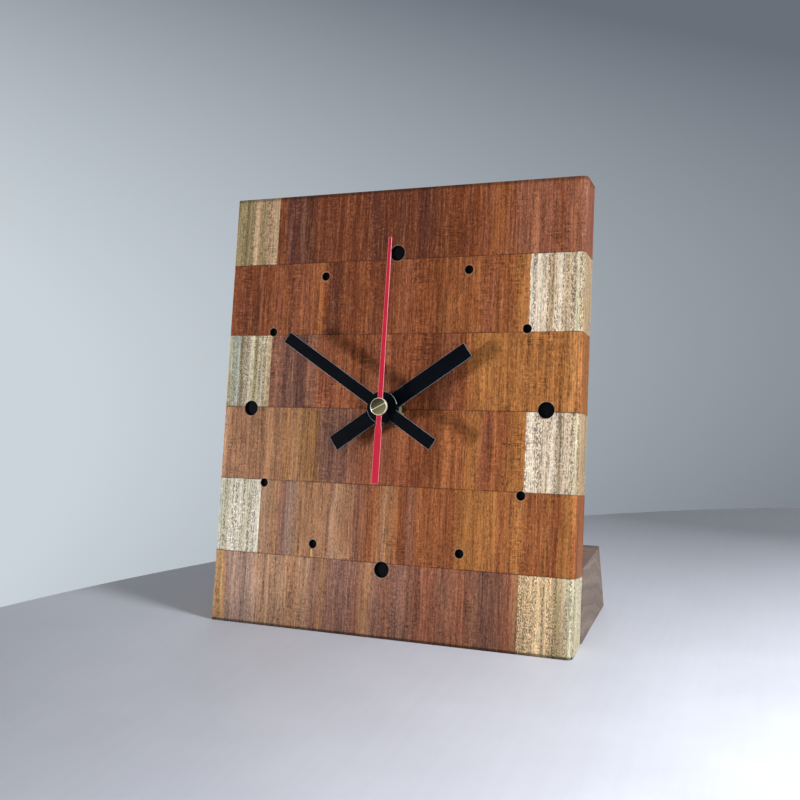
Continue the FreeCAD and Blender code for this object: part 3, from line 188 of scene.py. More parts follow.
# Soft lights: direction from the dial, distance, size, watts, colour, whether reflections show it
LAMPS = {
    "low_lamp": ((-0.864, -0.493, -0.0985), 0.80, 0.105, 7.6, (1.0, 0.98, 0.95), True),
    "window": ((0.84, -0.14, 0.52), 0.62, 0.14, 4.1, (0.97, 0.98, 1.0), True),
    "sky": ((0.05, -0.05, 1.0), 1.20, 0.80, 2.3, (0.96, 0.98, 1.0), True),
    "table_glow": ((0.38, -0.90, -0.19), 0.33, 0.12, 0.09, (1.0, 1.0, 1.0), True),
    "back_fill": ((-0.30, 0.92, 0.27), 1.60, 0.70, 9.0, (0.96, 0.98, 1.0), False),
}
AMBIENT = 0.13
# Middle of the table top, in metres, and its thickness in millimetres
TABLE_MIDDLE = (0.2474, -0.2075, 0.0)
TABLE_THICKNESS = 20.0
# Direction in which the backdrop brightens sideways
SIDEWAYS = (0.9279, 0.3719, -0.0276)
# Camera: its place in metres, its turn in degrees and the width of its film in millimetres
CAMERA_PLACE = (0.115239, -0.288038, 0.104015)
CAMERA_TURN = (83.9367, 1.5817, 21.842)
FILM_WIDTH = 36.0


# Shader values

class Wire:
    """One output of a finish's nodes; sums on it add Math nodes."""

    def __init__(self, finish, socket):
        self.finish = finish
        self.socket = socket

    def sum(self, operation, *terms):
        return self.finish.node("ShaderNodeMath", {"operation": operation}, dict(enumerate(terms)))

    def __add__(self, other):
        return self.sum("ADD", self, other)

    __radd__ = __add__

    def __sub__(self, other):
        return self.sum("SUBTRACT", self, other)

    def __rsub__(self, other):
        return self.sum("SUBTRACT", other, self)

    def __mul__(self, other):
        return self.sum("MULTIPLY", self, other)

    __rmul__ = __mul__

    def __truediv__(self, other):
        return self.sum("DIVIDE", self, other)

    def __pow__(self, other):
        return self.sum("POWER", self, other)

    def __abs__(self):
        return self.sum("ABSOLUTE", self)

    def sine(self):
        return self.sum("SINE", self)

    def larger(self, other):
        return self.sum("MAXIMUM", self, other)

    def smaller(self, other):
        return self.sum("MINIMUM", self, other)

    def between(self, low, high):
        """0 at low and 1 at high, eased, and level beyond them; low may be the larger."""
        return self.finish.node(
            "ShaderNodeMapRange", {"interpolation_type": "SMOOTHSTEP"},
            {"Value": self, "From Min": low, "From Max": high})


class Finish:
    """A tree of shader nodes, with the few ways in which this clock's surfaces are made up."""

    def __init__(self, owner):
        self.owner = owner
        owner.use_nodes = True
        self.tree = owner.node_tree
        self.tree.nodes.clear()

    def node(self, kind, settings=None, sockets=None, output=0):
        """Adds a node: its settings first, then its sockets' values, colour codes or wires."""
        made = self.tree.nodes.new(kind)
        for name, value in (settings or {}).items():
            if name == "stops":
                self.set_stops(made.color_ramp, value)
            else:
                setattr(made, name, value)
        for place, value in (sockets or {}).items():
            if isinstance(value, Wire):
                self.tree.links.new(value.socket, made.inputs[place])
            else:
                made.inputs[place].default_value = paint(value) if isinstance(value, str) else value
        return Wire(self, made.outputs[output]) if made.outputs else None

    def set_stops(self, ramp, stops):
        """Sets a ramp's stops, each a position and a colour code."""
        for element, (position, code) in zip(ramp.elements, (stops[0], stops[-1])):
            element.position = position
            element.color = paint(code)
        for position, code in stops[1:-1]:
            ramp.elements.new(position).color = paint(code)

    def ramp(self, share, *stops):
        return self.node("ShaderNodeValToRGB", {"stops": stops}, {"Fac": share})

    def blend(self, share, under, over):
        return self.node("ShaderNodeMix", {"data_type": "RGBA"}, {0: share, 6: under, 7: over}, output=2)

    def shade(self, colour, factor):
        """The colour times a factor."""
        return self.node("ShaderNodeVectorMath", {"operation": "SCALE"}, {0: colour, "Scale": factor})

    def parts(self, place):
        made = self.node("ShaderNodeSeparateXYZ", None, {0: place})
        return [Wire(self, socket) for socket in made.socket.node.outputs]

    def joined(self, x, y, z):
        return self.node("ShaderNodeCombineXYZ", None, {0: x, 1: y, 2: z})

    def stretched(self, place, size):
        """The place in steps of that size, one number or one for each way."""
        steps = size if isinstance(size, tuple) else (size, size, size)
        return self.node("ShaderNodeVectorMath", {"operation": "DIVIDE"}, {0: place, 1: steps})

    def clouds(self, place, size, detail=2.0, roughness=0.5, warp=0.0):
        """Soft noise from 0 to 1 with patches of that size in millimetres."""
        return self.node("ShaderNodeTexNoise", None, {
            "Vector": self.stretched(place, size), "Scale": 1.0, "Detail": detail,
            "Roughness": roughness, "Distortion": warp})

    def cells(self, place, size, output="Distance"):
        """Scattered cells of that size: the distance from each cell's middle, or its colour."""
        return self.node("ShaderNodeTexVoronoi", None,
                         {"Vector": self.stretched(place, size), "Scale": 1.0}, output=output)

    def specks(self, place, size, reach, share):
        """1 inside small specks of that size; share is how many of the cells hold one."""
        chosen = self.parts(self.cells(place, size, "Color"))[0]
        return self.cells(place, size).between(reach, reach * 0.45) * chosen.between(1 - share, 1.02 - share)

    def bump(self, height, depth, strength=1.0):
        """Relief of that depth in millimetres."""
        return self.node("ShaderNodeBump", None,
                         {"Strength": strength, "Distance": depth * MM, "Height": height})

    def own_place(self):
        """Place in the clock's own millimetres: across, behind the face, up from its foot."""
        shift = -FOOT / MM
        return self.node("ShaderNodeMapping", {"vector_type": "POINT"}, {
            "Vector": self.node("ShaderNodeTexCoord", output="Object"),
            "Scale": (1 / MM, 1 / MM, 1 / MM),
            "Rotation": (LEAN, 0.0, 0.0),
            "Location": (0.0, shift * math.cos(LEAN), shift * math.sin(LEAN))})

    def surface(self, **sockets):
        """Ends the finish with the usual shader and gives back the material."""
        names = {key: key.replace("_", " ").title().replace("Ior", "IOR") for key in sockets}
        shader = self.node("ShaderNodeBsdfPrincipled", None, {names[k]: v for k, v in sockets.items()})
        self.node("ShaderNodeOutputMaterial", None, {"Surface": shader})
        return self.owner


def begin(name):
    """A new material's finish, the place in the clock's own millimetres, and the place's three parts."""
    finish = Finish(bpy.data.materials.new(name))
    place = finish.own_place()
    return finish, place, *finish.parts(place)


def slope(x, y, level, in_x, in_y, in_xx, in_xy, in_yy):
    """A soft gradient over two directions: a level with its changes along them and their products."""
    return level + x * in_x + y * in_y + x * x * in_xx + x * y * in_xy + y * y * in_yy


# Woods

def mark_holes(course, block, across, up):
    """Masks of the hour marks' dark walls and of the painted highlight on their lips in a block, or 0 where
    it has no mark.
    """
    low, high = (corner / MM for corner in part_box(block))
    wall = 0.0
    lip_highlight = 0.0
    for hour in range(1, 13):
        turn = math.radians(hour * 30 + MARK_DRIFT.get(hour, 0))
        x, height = MARK_RING * math.sin(turn), SHAFT_HEIGHT + MARK_RING * math.cos(turn)
        radius = MARK_RADII[hour % 3 == 0]
        near = radius + 1
        if low.x - near < x < high.x + near and JOINTS[course] - near < height < JOINTS[course - 1] + near:
            away = ((across - x) ** 2 + (up - height) ** 2) ** 0.5 - radius
            wall = away.between(0.09, 0.04) + wall
            lip_highlight = abs(away - 0.14).between(0.32, 0.08) + lip_highlight
    return wall, lip_highlight


def wood_finish(course, sapwood):
    """Oiled wood with its grain up the face: bands, fibres, pores, rays, glue lines and drilled holes."""
    kind = "sapwood" if sapwood else "heartwood"
    finish, place, across, behind, up = begin(f"{kind}_{course}")
    # each course is cut from another spot of the plank
    spot = finish.node("ShaderNodeVectorMath", {"operation": "ADD"},
                       {0: place, 1: (course * 211.0 + sapwood * 97.0, course * 53.0, course * 131.0)})
    wave = (finish.clouds(spot, (40, 40, 22), 1.0) - 0.5) * (2.4 if sapwood else 3.4)
    ripple = (finish.clouds(spot, (5, 5, 11), 2.0) - 0.5) * 1.3
    share = (across + wave + ripple + behind * 0.22 + HALF_WIDTH) / (2 * HALF_WIDTH)
    bands = (SAPWOOD_BANDS if sapwood else HEARTWOOD_BANDS)[course]
    stops = [((x + HALF_WIDTH) / (2 * HALF_WIDTH), TONES[tone]) for x, tone in bands]
    colour = finish.ramp(share, *stops)

    fibre = finish.clouds(spot, (0.5, 0.5, 12), 3.0, 0.62)
    thread = finish.clouds(spot, (1.7, 1.7, 70), 2.0, 0.6)
    grit = finish.clouds(spot, (0.42, 0.42, 0.9), 2.0, 0.6, 0.6)
    pore_size = (0.55, 0.55, 1.5) if sapwood else (0.5, 0.5, 1.6)
    crowded = finish.clouds(spot, (1.4, 1.4, 45), 1.0).between(0.38, 0.62)
    pores = finish.specks(spot, pore_size, 0.50, 0.75 if sapwood else 0.5)
    pores = pores * (crowded * 0.85 + 0.15)

    # rays cross the grain, in columns where the saw met them square
    lines = finish.clouds(spot, (2.4, 1.2, 0.42), 2.0, 0.6, 0.4)
    column = finish.clouds(spot, (6.5, 9, 34), 1.0).between(0.46, 0.58)
    patch = finish.clouds(spot, (5, 9, 7), 1.0).between(0.38, 0.56)
    rays = (lines - 0.5) * (column * patch * 0.86 + 0.14)

    light = 1.0
    for layer, strength in zip((fibre - 0.5, thread - 0.5, grit - 0.5, rays), GRAIN[sapwood]):
        light = layer * strength + light
    colour = finish.shade(colour, light.larger(0.2) * PALENESS_AND_SHADE[course][sapwood])
    if not sapwood:
        # a painted golden sheen where the grain is pale, and thin dark veins
        colour = finish.blend(((light - 1.0) * 0.3).larger(0.0).smaller(0.3), colour, "bf9060")
        veins = abs(finish.clouds(spot, (3.4, 3.4, 80), 3.0, 0.6) - 0.5).between(0.022, 0.004)
        colour = finish.blend(veins * thread.between(0.40, 0.60) * 0.42, colour, "3a1c12")
    else:
        # dark dashes in narrow rows, and finer dots crowded in wider ones
        rows = finish.clouds(spot, (1.1, 1.1, 60), 1.0).between(0.56, 0.66)
        dashes = finish.clouds(spot, (0.5, 0.5, 2.6), 2.0).between(0.46, 0.56)
        colour = finish.blend(rows * dashes * 0.55, colour, "6b563c")
        crowd = finish.clouds(spot, (0.9, 0.9, 70), 1.0).between(0.45, 0.57)
        dots = finish.clouds(spot, (0.30, 0.30, 0.62), 0.0).between(0.48, 0.58)
        colour = finish.blend(crowd * dots * 0.74, colour, "54402a")
    pore_tone = "67533c" if sapwood else "3a1c12"
    colour = finish.blend(pores * (0.45 if sapwood else 0.50), colour, pore_tone)

    # end grain at the top and the foot painted darker: at the top partly its own darker tone and partly
    # painted shade, at the foot nearly black as painted shade where it meets the table
    if course in (1, 6):
        end = up.between(JOINTS[0] - 1.5, JOINTS[0] - 0.5) if course == 1 else up.between(1.1, 0.6)
        rings = finish.clouds(place, (1.1, 30, 30), 2.0)
        end_grain_and_shade_tone = finish.shade(colour, (0.36 if course == 1 else 0.10) + rings * 0.34)
        colour = finish.blend(end, colour, end_grain_and_shade_tone)

    # glue lines above and below, and a painted highlight along the rounded front arrises
    uneven = finish.clouds(place, 7, 2.0).between(0.34, 0.56) * 0.42 + 0.30
    glue = 0.0
    for height in JOINTS[course - 1:course + 1]:
        if height not in (JOINTS[0], JOINTS[-1]):
            glue = abs(up - height).between(0.26, 0.05) + glue
    colour = finish.blend(glue * uneven, colour, "33190f")
    arris_highlight = abs(across).between(HALF_WIDTH - 1.6, HALF_WIDTH - 0.7) * behind.between(1.9, 0.8)
    colour = finish.shade(colour, arris_highlight * 0.22 + 1.0)

    if course == 4 and not sapwood:
        # short checks across the grain, near the pale block
        checks = finish.specks(spot, (1.5, 3.0, 0.9), 0.42, 0.55) * abs(across - 38.6).between(2.0, 1.2)
        checks = checks * finish.clouds(place, (30, 30, 3.2), 1.0).between(0.47, 0.56)
        colour = finish.blend(checks * 0.8, colour, "301408")
    if course == 5 and not sapwood:
        # pale nick under the mark at seven
        nick = abs(across + 24.6).between(0.45, 0.2) * abs(up - 24.4).between(1.4, 1.1)
        colour = finish.blend(nick * 0.7, colour, "d8ae78")

    wall, lip_highlight = mark_holes(course, f"course_{course}_{kind}", across, up)
    if isinstance(wall, Wire):
        inside = behind.between(0.02, 0.10) * behind.between(MARK_DEPTH + 1.4, MARK_DEPTH + 1.0)
        wall = wall.smaller(1.0) * inside
        # a painted highlight round the front of each hole's lip
        colour = finish.blend(lip_highlight.smaller(1.0) * behind.between(1.0, 0.5) * 0.14, colour, "b4a79c")
        colour = finish.blend(wall, colour, "090c10")
    relief = fibre * 0.35 + thread * 0.25 - pores * 0.8 - glue * 0.7
    return finish.surface(
        base_color=colour, roughness=0.54 - fibre * 0.14 + pores * 0.2, specular_ior_level=0.12,
        normal=finish.bump(relief, 0.07, 0.8))


def walnut_finish():
    """Grey-brown wood with its grain along the block, and the rings of its end grain at the sides."""
    finish, place, across, behind, up = begin("dark_base_wood")
    wobble = (finish.clouds(place, (38, 9, 9), 2.0) - 0.5) * 6.0
    ring = ((behind - 26.0) ** 2 + (up + 34.0) ** 2) ** 0.5 + wobble
    rings = finish.clouds(finish.joined(ring, across * 0.015, 0.0), (3.4, 1, 1), 3.0, 0.55)
    colour = finish.ramp(rings, (0.28, "54463f"), (0.44, "705d52"), (0.56, "836f62"),
                         (0.72, "968374"))
    fibre = finish.clouds(place, (18, 0.5, 0.5), 3.0, 0.6)
    pores = finish.specks(place, (2.6, 0.55, 0.55), 0.44, 0.45)
    end = abs(across).between(HALF_WIDTH - 0.9, HALF_WIDTH - 0.4)
    dots = finish.specks(place, (9.0, 0.7, 0.7), 0.40, 0.6) * end
    scrape = finish.clouds(place, (6, 5, 0.5), 2.0)
    colour = finish.shade(colour, (fibre - 0.5) * 0.9 + (scrape - 0.5) * 0.18 + 1.0)
    colour = finish.blend((pores * (1 - end) + dots).smaller(1.0) * 0.55, colour, "2e1e1a")
    # the block painted darker towards its foot, as painted shade where it meets the table
    colour = finish.blend(up.between(0.9, 0.1) * 0.6, colour, "2a1c18")
    return finish.surface(
        base_color=colour, roughness=0.52 - fibre * 0.12, specular_ior_level=0.35,
        normal=finish.bump(fibre * 0.4 - pores * 0.8, 0.07, 0.7))


def dowel_finish():
    finish, place = begin("dowel_wood")[:2]
    fibre = finish.clouds(place, (0.5, 14, 0.5), 3.0, 0.6)
    colour = finish.ramp(fibre, (0.3, "a8845a"), (0.7, "d2b184"))
    return finish.surface(base_color=colour, roughness=0.6, normal=finish.bump(fibre, 0.05))


# Plain goods: plastics, metals, rubber

def moulded(name, code, pale_code, roughness, grain=0.35, depth=0.02, edge=None):
    """Moulded plastic: a fine spark-eroded grain, faint flow marks, and dust that dulls it in patches."""
    finish, place, across, behind, up = begin(name)
    spark = finish.clouds(place, grain, 3.0, 0.65)
    flow = finish.clouds(place, (9, 9, 14), 3.0, 0.5, 1.2)
    dust = finish.clouds(place, 3, 4.0, 0.7).between(0.50, 0.78)
    colour = finish.blend(flow.between(0.35, 0.70) * 0.6 + dust * 0.25, code, pale_code)
    if edge:
        half, middle = edge
        corner = abs(across).larger(abs(up - middle)).between(half - 0.7, half - 0.1)
        colour = finish.blend(corner * (spark * 0.5 + 0.1), colour, pale_code)
    return finish.surface(
        base_color=colour, roughness=dust * 0.16 + (flow - 0.5) * 0.1 + roughness,
        specular_ior_level=0.42, normal=finish.bump(spark, depth, 0.8))


def turned_goods(name, code, dull_code, roughness, pitch=0.16, about=(0.0, SHAFT_HEIGHT), metallic=1.0):
    """Metal or plastic turned in a lathe: fine rings about the axis, with tarnish in patches."""
    finish, place, across, behind, up = begin(name)
    radius = ((across - about[0]) ** 2 + (up - about[1]) ** 2) ** 0.5
    rings = finish.clouds(finish.joined(radius, 0.0, 0.0), (pitch, 1, 1), 2.0, 0.6)
    tarnish = finish.clouds(place, 1.4, 3.0, 0.6)
    colour = finish.blend(tarnish.between(0.35, 0.72) * 0.7, code, dull_code)
    colour = finish.shade(colour, (rings - 0.5) * 0.35 + 1.0)
    return finish.surface(
        base_color=colour, metallic=metallic, roughness=(tarnish - 0.5) * 0.2 + roughness,
        normal=finish.bump(rings, 0.012, 0.9))


def drawn_metal(name, code, dull_code, roughness, size=(6.0, 0.12, 0.12)):
    """Rolled or drawn metal with fine scratches along it."""
    finish, place = begin(name)[:2]
    lines = finish.clouds(place, size, 2.0, 0.6)
    stain = finish.clouds(place, 2.5, 3.0, 0.6)
    colour = finish.blend(stain.between(0.4, 0.75), code, dull_code)
    colour = finish.shade(colour, (lines - 0.5) * 0.4 + 1.0)
    return finish.surface(
        base_color=colour, metallic=1.0, roughness=(stain - 0.5) * 0.25 + roughness,
        normal=finish.bump(lines, 0.01, 0.7))


def lacquer(name, code, worn_code, roughness, specular):
    """Lacquered sheet metal: nearly smooth, with a trace of orange peel and a few dust specks."""
    finish, place = begin(name)[:2]
    peel = finish.clouds(place, 0.5, 2.0, 0.5)
    rub = finish.clouds(place, 5, 4.0, 0.6)
    dust = finish.specks(place, 0.9, 0.2, 0.16)
    colour = finish.blend(rub.between(0.45, 0.8) * 0.35 + dust * 0.35, code, worn_code)
    return finish.surface(
        base_color=colour, roughness=(rub - 0.5) * 0.2 + roughness, specular_ior_level=specular,
        normal=finish.bump(peel, 0.01, 0.5))


def board_finish():
    """Lacquered circuit board: copper tracks that show through the green, tinned pads, weave in the edge."""
    finish, place = begin("circuit_laminate")[:2]
    turned_up = finish.node("ShaderNodeMapping", None, {"Vector": place, "Rotation": (QUARTER, 0.0, 0.0)})
    tracks = finish.node("ShaderNodeTexBrick", {"offset": 0.35, "squash": 0.6}, {
        "Vector": turned_up, "Scale": 0.45, "Mortar Size": 0.06, "Color1": (1, 1, 1, 1),
        "Color2": (0.8, 0.8, 0.8, 1), "Mortar": (0, 0, 0, 1)}, output="Fac")
    weave = finish.clouds(place, 0.35, 2.0)
    pads = finish.specks(place, (2.1, 40, 2.1), 0.30, 0.5)
    colour = finish.blend(tracks, "1d6a44", "0f4a2c")
    colour = finish.shade(colour, (weave - 0.5) * 0.3 + 1.0)
    colour = finish.blend(pads, colour, "c9c7bd")
    return finish.surface(base_color=colour, roughness=0.34, metallic=pads * 0.8,
                          normal=finish.bump(tracks * 0.5 + pads, 0.04, 0.7))


def wire_finish():
    """Enamelled copper wire, painted a little darker in the grooves between the turns as shade."""
    finish, place, across = begin("enamelled_copper")[:3]
    turns = (across * (math.tau / 0.18)).sine()
    stain = finish.clouds(place, (1.2, 2.5, 2.5), 3.0)
    colour = finish.ramp(stain, (0.3, "8a3a1c"), (0.5, "b4552a"), (0.72, "d0763e"))
    colour = finish.shade(colour, turns * 0.12 + 0.95)
    return finish.surface(base_color=colour, metallic=0.85, roughness=0.36,
                          normal=finish.bump(turns, 0.03, 0.8))


def cell_finish():
    """Printed jacket of the cell: slate blue with a silver band at the plus end and hairlines between."""
    finish, place, across = begin("cell_jacket")[:3]
    band = across.between(14.6, 14.8)
    hair = abs(across - 13.4).between(0.26, 0.2) + abs(across + 22.2).between(0.5, 0.44)
    scuff = finish.clouds(place, (5, 1.6, 1.6), 4.0, 0.65).between(0.52, 0.80)
    colour = finish.blend(band, "223a52", "b9bec4")
    colour = finish.blend(hair, colour, "d8dce0")
    colour = finish.blend(scuff * 0.22, colour, "8d949b")
    return finish.surface(base_color=colour, roughness=scuff * 0.25 + 0.26, coat_weight=0.4,
                          coat_roughness=0.15, metallic=band * 0.6,
                          normal=finish.bump(scuff, 0.01, 0.5))


# Mesh helpers

def turned(profile, steps=96, closed=False):
    """A mesh turned about the z axis from a profile of (radius, height), in millimetres."""
    made = bmesh.new()
    points = [made.verts.new((radius, 0.0, height)) for radius, height in profile]
    pairs = list(zip(points, points[1:])) + ([(points[-1], points[0])] if closed else [])
    edges = [made.edges.new(pair) for pair in pairs]
    bmesh.ops.spin(made, geom=points + edges, cent=(0, 0, 0), axis=(0, 0, 1), dvec=(0, 0, 0),
                   angle=math.tau, steps=steps, use_merge=True)
    tidy(made)
    return made


def move(made, matrix):
    bmesh.ops.transform(made, matrix=matrix, verts=made.verts)


def tidy(made):
    """Merges doubles, closes poles and turns every face outwards."""
    bmesh.ops.remove_doubles(made, verts=made.verts, dist=1e-4)
    bmesh.ops.dissolve_degenerate(made, edges=made.edges, dist=1e-5)
    bmesh.ops.recalc_face_normals(made, faces=made.faces)


def bevel(made, edges, width, segments):
    bmesh.ops.bevel(made, geom=list(edges), offset=width, offset_type="OFFSET", affect="EDGES",
                    segments=segments, profile=0.5, material=-1, clamp_overlap=True)


def add_mesh(into, other):
    """Adds another mesh's faces to this one."""
    spare = bpy.data.meshes.new("spare")
    other.to_mesh(spare)
    other.free()
    into.from_mesh(spare)
    bpy.data.meshes.remove(spare)


def slab_of(made, outline, low, high, edge, segments=2):
    """A flat plate over an outline, from one height to another, its upper arris bevelled."""
    plate = bmesh.new()
    face = plate.faces.new([plate.verts.new((x, y, low)) for x, y in outline])
    raised = bmesh.ops.extrude_face_region(plate, geom=[face])["geom"]
    top = [part for part in raised if isinstance(part, bmesh.types.BMVert)]
    bmesh.ops.translate(plate, verts=top, vec=(0, 0, high - low))
    bmesh.ops.recalc_face_normals(plate, faces=plate.faces)
    rim = [part for part in plate.edges if all(abs(v.co.z - high) < 1e-6 for v in part.verts)]
    bevel(plate, rim, edge, segments)
    add_mesh(made, plate)


def placed(made, matrix, name, materials):
    """Makes the object from a mesh in millimetres, with its place in its mesh."""
    move(made, matrix @ Matrix.Scale(MM, 4))
    mesh = bpy.data.meshes.new(name)
    made.to_mesh(mesh)
    made.free()
    for material in materials:
        mesh.materials.append(material)
    mesh.shade_smooth()
    mesh.set_sharp_from_angle(angle=SHARP)
    piece = bpy.data.objects.new(name, mesh)
    bpy.context.scene.collection.objects.link(piece)
    return piece


def settle(made, matrix, name, materials, body, slot, *nodes):
    """Places a piece on its body, for the CAD nodes that it replaces, if any."""
    piece = placed(made, matrix, name, materials)
    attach(piece, body)
    if nodes:
        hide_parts(*nodes)


def dress(material, *nodes):
    """Gives a CAD piece its finish."""
    for node in nodes:
        for place in frame["nodes"][node].material_slots:
            place.material = material


# Sizes and colours

def length(name, description, default, **limits):
    return FloatProperty(name=name, description=description, default=default, unit="LENGTH", **limits)


def hand_angle(name, degrees):
    return FloatProperty(name=name, description="Clockwise from twelve", default=math.radians(degrees),
                         subtype="ANGLE")


def colour_of(name, description, code):
    return FloatVectorProperty(name=name, description=description, default=paint(code), size=4,
                               subtype="COLOR", min=0.0, max=1.0)


class DeskClockSizes(bpy.types.PropertyGroup):
    hour_reach: length("Hour hand reach", "From the axis to the tip of the hour hand", 0.032, min=0.01)
    hour_tail: length("Hour hand tail", "From the axis to the end of its tail", 0.0205, min=0.005)
    hour_width: length("Hour hand width", "Width of the hour hand's baton", 0.0051, min=0.001)
    minute_reach: length("Minute hand reach", "From the axis to the tip of the minute hand", 0.041, min=0.01)
    minute_tail: length("Minute hand tail", "From the axis to the end of its tail", 0.0204, min=0.005)
    minute_width: length("Minute hand width", "Width of the minute hand's baton", 0.0039, min=0.001)
    second_reach: length("Second hand reach", "From the axis to the tip of the second hand", 0.053, min=0.01)
    second_tail: length("Second hand tail", "From the axis to the end of its tail", 0.0237, min=0.005)
    hour_turn: hand_angle("Hour hand angle", 55.4)
    minute_turn: hand_angle("Minute hand angle", 302.9)
    second_turn: hand_angle("Second hand angle", 0.7)
    worn_edge: length("Worn edge", "Width of the bare metal along the hands' edges", 0.00011,
                      min=0.0, max=0.0004)
    table_radius: length("Table radius", "Radius of the round table top", 0.4234, min=0.1)
    lens: FloatProperty(name="Lens", description="Focal length of the camera, in millimetres on a 36 mm film",
                        default=43.0875, min=10.0, unit="CAMERA")


class DeskClockColours(bpy.types.PropertyGroup):
    table: colour_of("Table", "Pale lacquer of the table top", "c3c6cf")
    wall_light: colour_of("Wall, light side", "Backdrop at its brightest", "ccd4db")
    wall_dark: colour_of("Wall, dark side", "Backdrop at its darkest", "69707a")


def sizes():
    return bpy.context.scene.desk_clock_sizes


def colours():
    return bpy.context.scene.desk_clock_colours


# Pieces

class DESKCLOCK_OT_woods(bpy.types.Operator):
    """Finish the twelve blocks of the slab, the base block and its dowels"""
    bl_idname = "desk_clock.woods"
    bl_label = "Woods"

    def execute(self, context):
        for course in HEARTWOOD_BANDS:
            dress(wood_finish(course, False), f"course_{course}_heartwood")
            dress(wood_finish(course, True), f"course_{course}_sapwood")
        dress(walnut_finish(), "base_block")
        dress(dowel_finish(), "base_dowels")
        return {"FINISHED"}


class DESKCLOCK_OT_marks(bpy.types.Operator):
    """Finish the black filling of the drilled hour marks"""
    bl_idname = "desk_clock.marks"
    bl_label = "Hour marks"

    def execute(self, context):
        finish, place = begin("mark_filling")[:2]
        pits = finish.clouds(place, 0.5, 3.0, 0.6)
        colour = finish.ramp(pits, (0.35, "040508"), (0.7, "0b0e12"))
        material = finish.surface(base_color=colour, roughness=0.72 - pits * 0.2, specular_ior_level=0.04,
                                  normal=finish.bump(pits, 0.06))
        dress(material, "large_hour_marks", "small_hour_marks")
        return {"FINISHED"}


def baton(start, reach, tail, width):
    """The two arms of a straight hand: start is where they begin, inside its hub."""
    return (start, reach, width, width), (-start, -tail, width, width)


def hand_mesh(arms, hub_radius, bore_radius, low, high, edge):
    """A stamped hand that points up: flat arms, each (start, end, width there, width there), round a hub."""
    made = turned([(bore_radius, low), (hub_radius, low), (hub_radius, high - edge),
                   (hub_radius - edge, high), (bore_radius + edge, high), (bore_radius, high - edge)],
                  closed=True)
    for index, (start, end, wide, narrow) in enumerate(arms):
        outline = [(-wide / 2, start), (wide / 2, start), (narrow / 2, end), (-narrow / 2, end)]
        slab_of(made, outline, low + 0.01, high - 0.02 - index * 0.004, edge, 1)
    made.normal_update()
    tips = [end for start, end, wide, narrow in arms]
    for face in made.faces:
        centre = face.calc_center_median()
        crosswise = abs(face.normal.y) > abs(face.normal.x) and centre.length > hub_radius + 0.3
        joint = crosswise and min(tips) + 1 < centre.y < max(tips) - 1
        face.material_index = 1 if 0.2 < face.normal.z < 0.94 and not joint else 0
    return made


class DESKCLOCK_OT_hands(bpy.types.Operator):
    """Make the hour, minute and second hands with their hubs and worn edges"""
    bl_idname = "desk_clock.hands"
    bl_label = "Hands"

    def execute(self, context):
        size = sizes()
        hour_arms = baton(2.7, size.hour_reach / MM, size.hour_tail / MM, size.hour_width / MM)
        minute_arms = baton(1.9, size.minute_reach / MM, size.minute_tail / MM, size.minute_width / MM)
        second_arms = ((0.9, size.second_reach / MM, 1.75, 1.1), (-0.9, -6.0, 1.75, 1.75),
                       (-5.6, -7.0, 1.72, 2.4), (-6.7, -size.second_tail / MM, 2.36, 2.4))
        black = lacquer("black_lacquer", "02050a", "0a1018", 0.45, 0.05)
        bare = lacquer("worn_black_edge", "7a8086", "4a5056", 0.38, 0.5)
        red = lacquer("red_lacquer", "b81c34", "c43348", 0.42, 0.2)
        red_edge = lacquer("worn_red_edge", "e08c98", "d0707e", 0.42, 0.5)
        # each with its turn, arms, radii of hub and bore, layer, slot and finishes
        hands = (
            ("hour_hand", "hour_group", size.hour_turn, hour_arms, (4.6, 2.52), HOUR_LAYER,
             "hand_black", (black, bare)),
            ("minute_hand", "minute_group", size.minute_turn, minute_arms, (5.0, 1.66), MINUTE_LAYER,
             "hand_black", (black, bare)),
            ("second_hand", "seconds_group", size.second_turn, second_arms, (2.0, 0.42), SECOND_LAYER,
             "hand_red", (red, red_edge)),
        )
        for name, body, turn, arms, radii, layer, slot, materials in hands:
            made = hand_mesh(arms, *radii, *layer, size.worn_edge / MM)
            settle(made, DIAL @ Matrix.Rotation(-turn, 4, "Z"), f"{name}_plate", materials, body, slot, name)
        return {"FINISHED"}


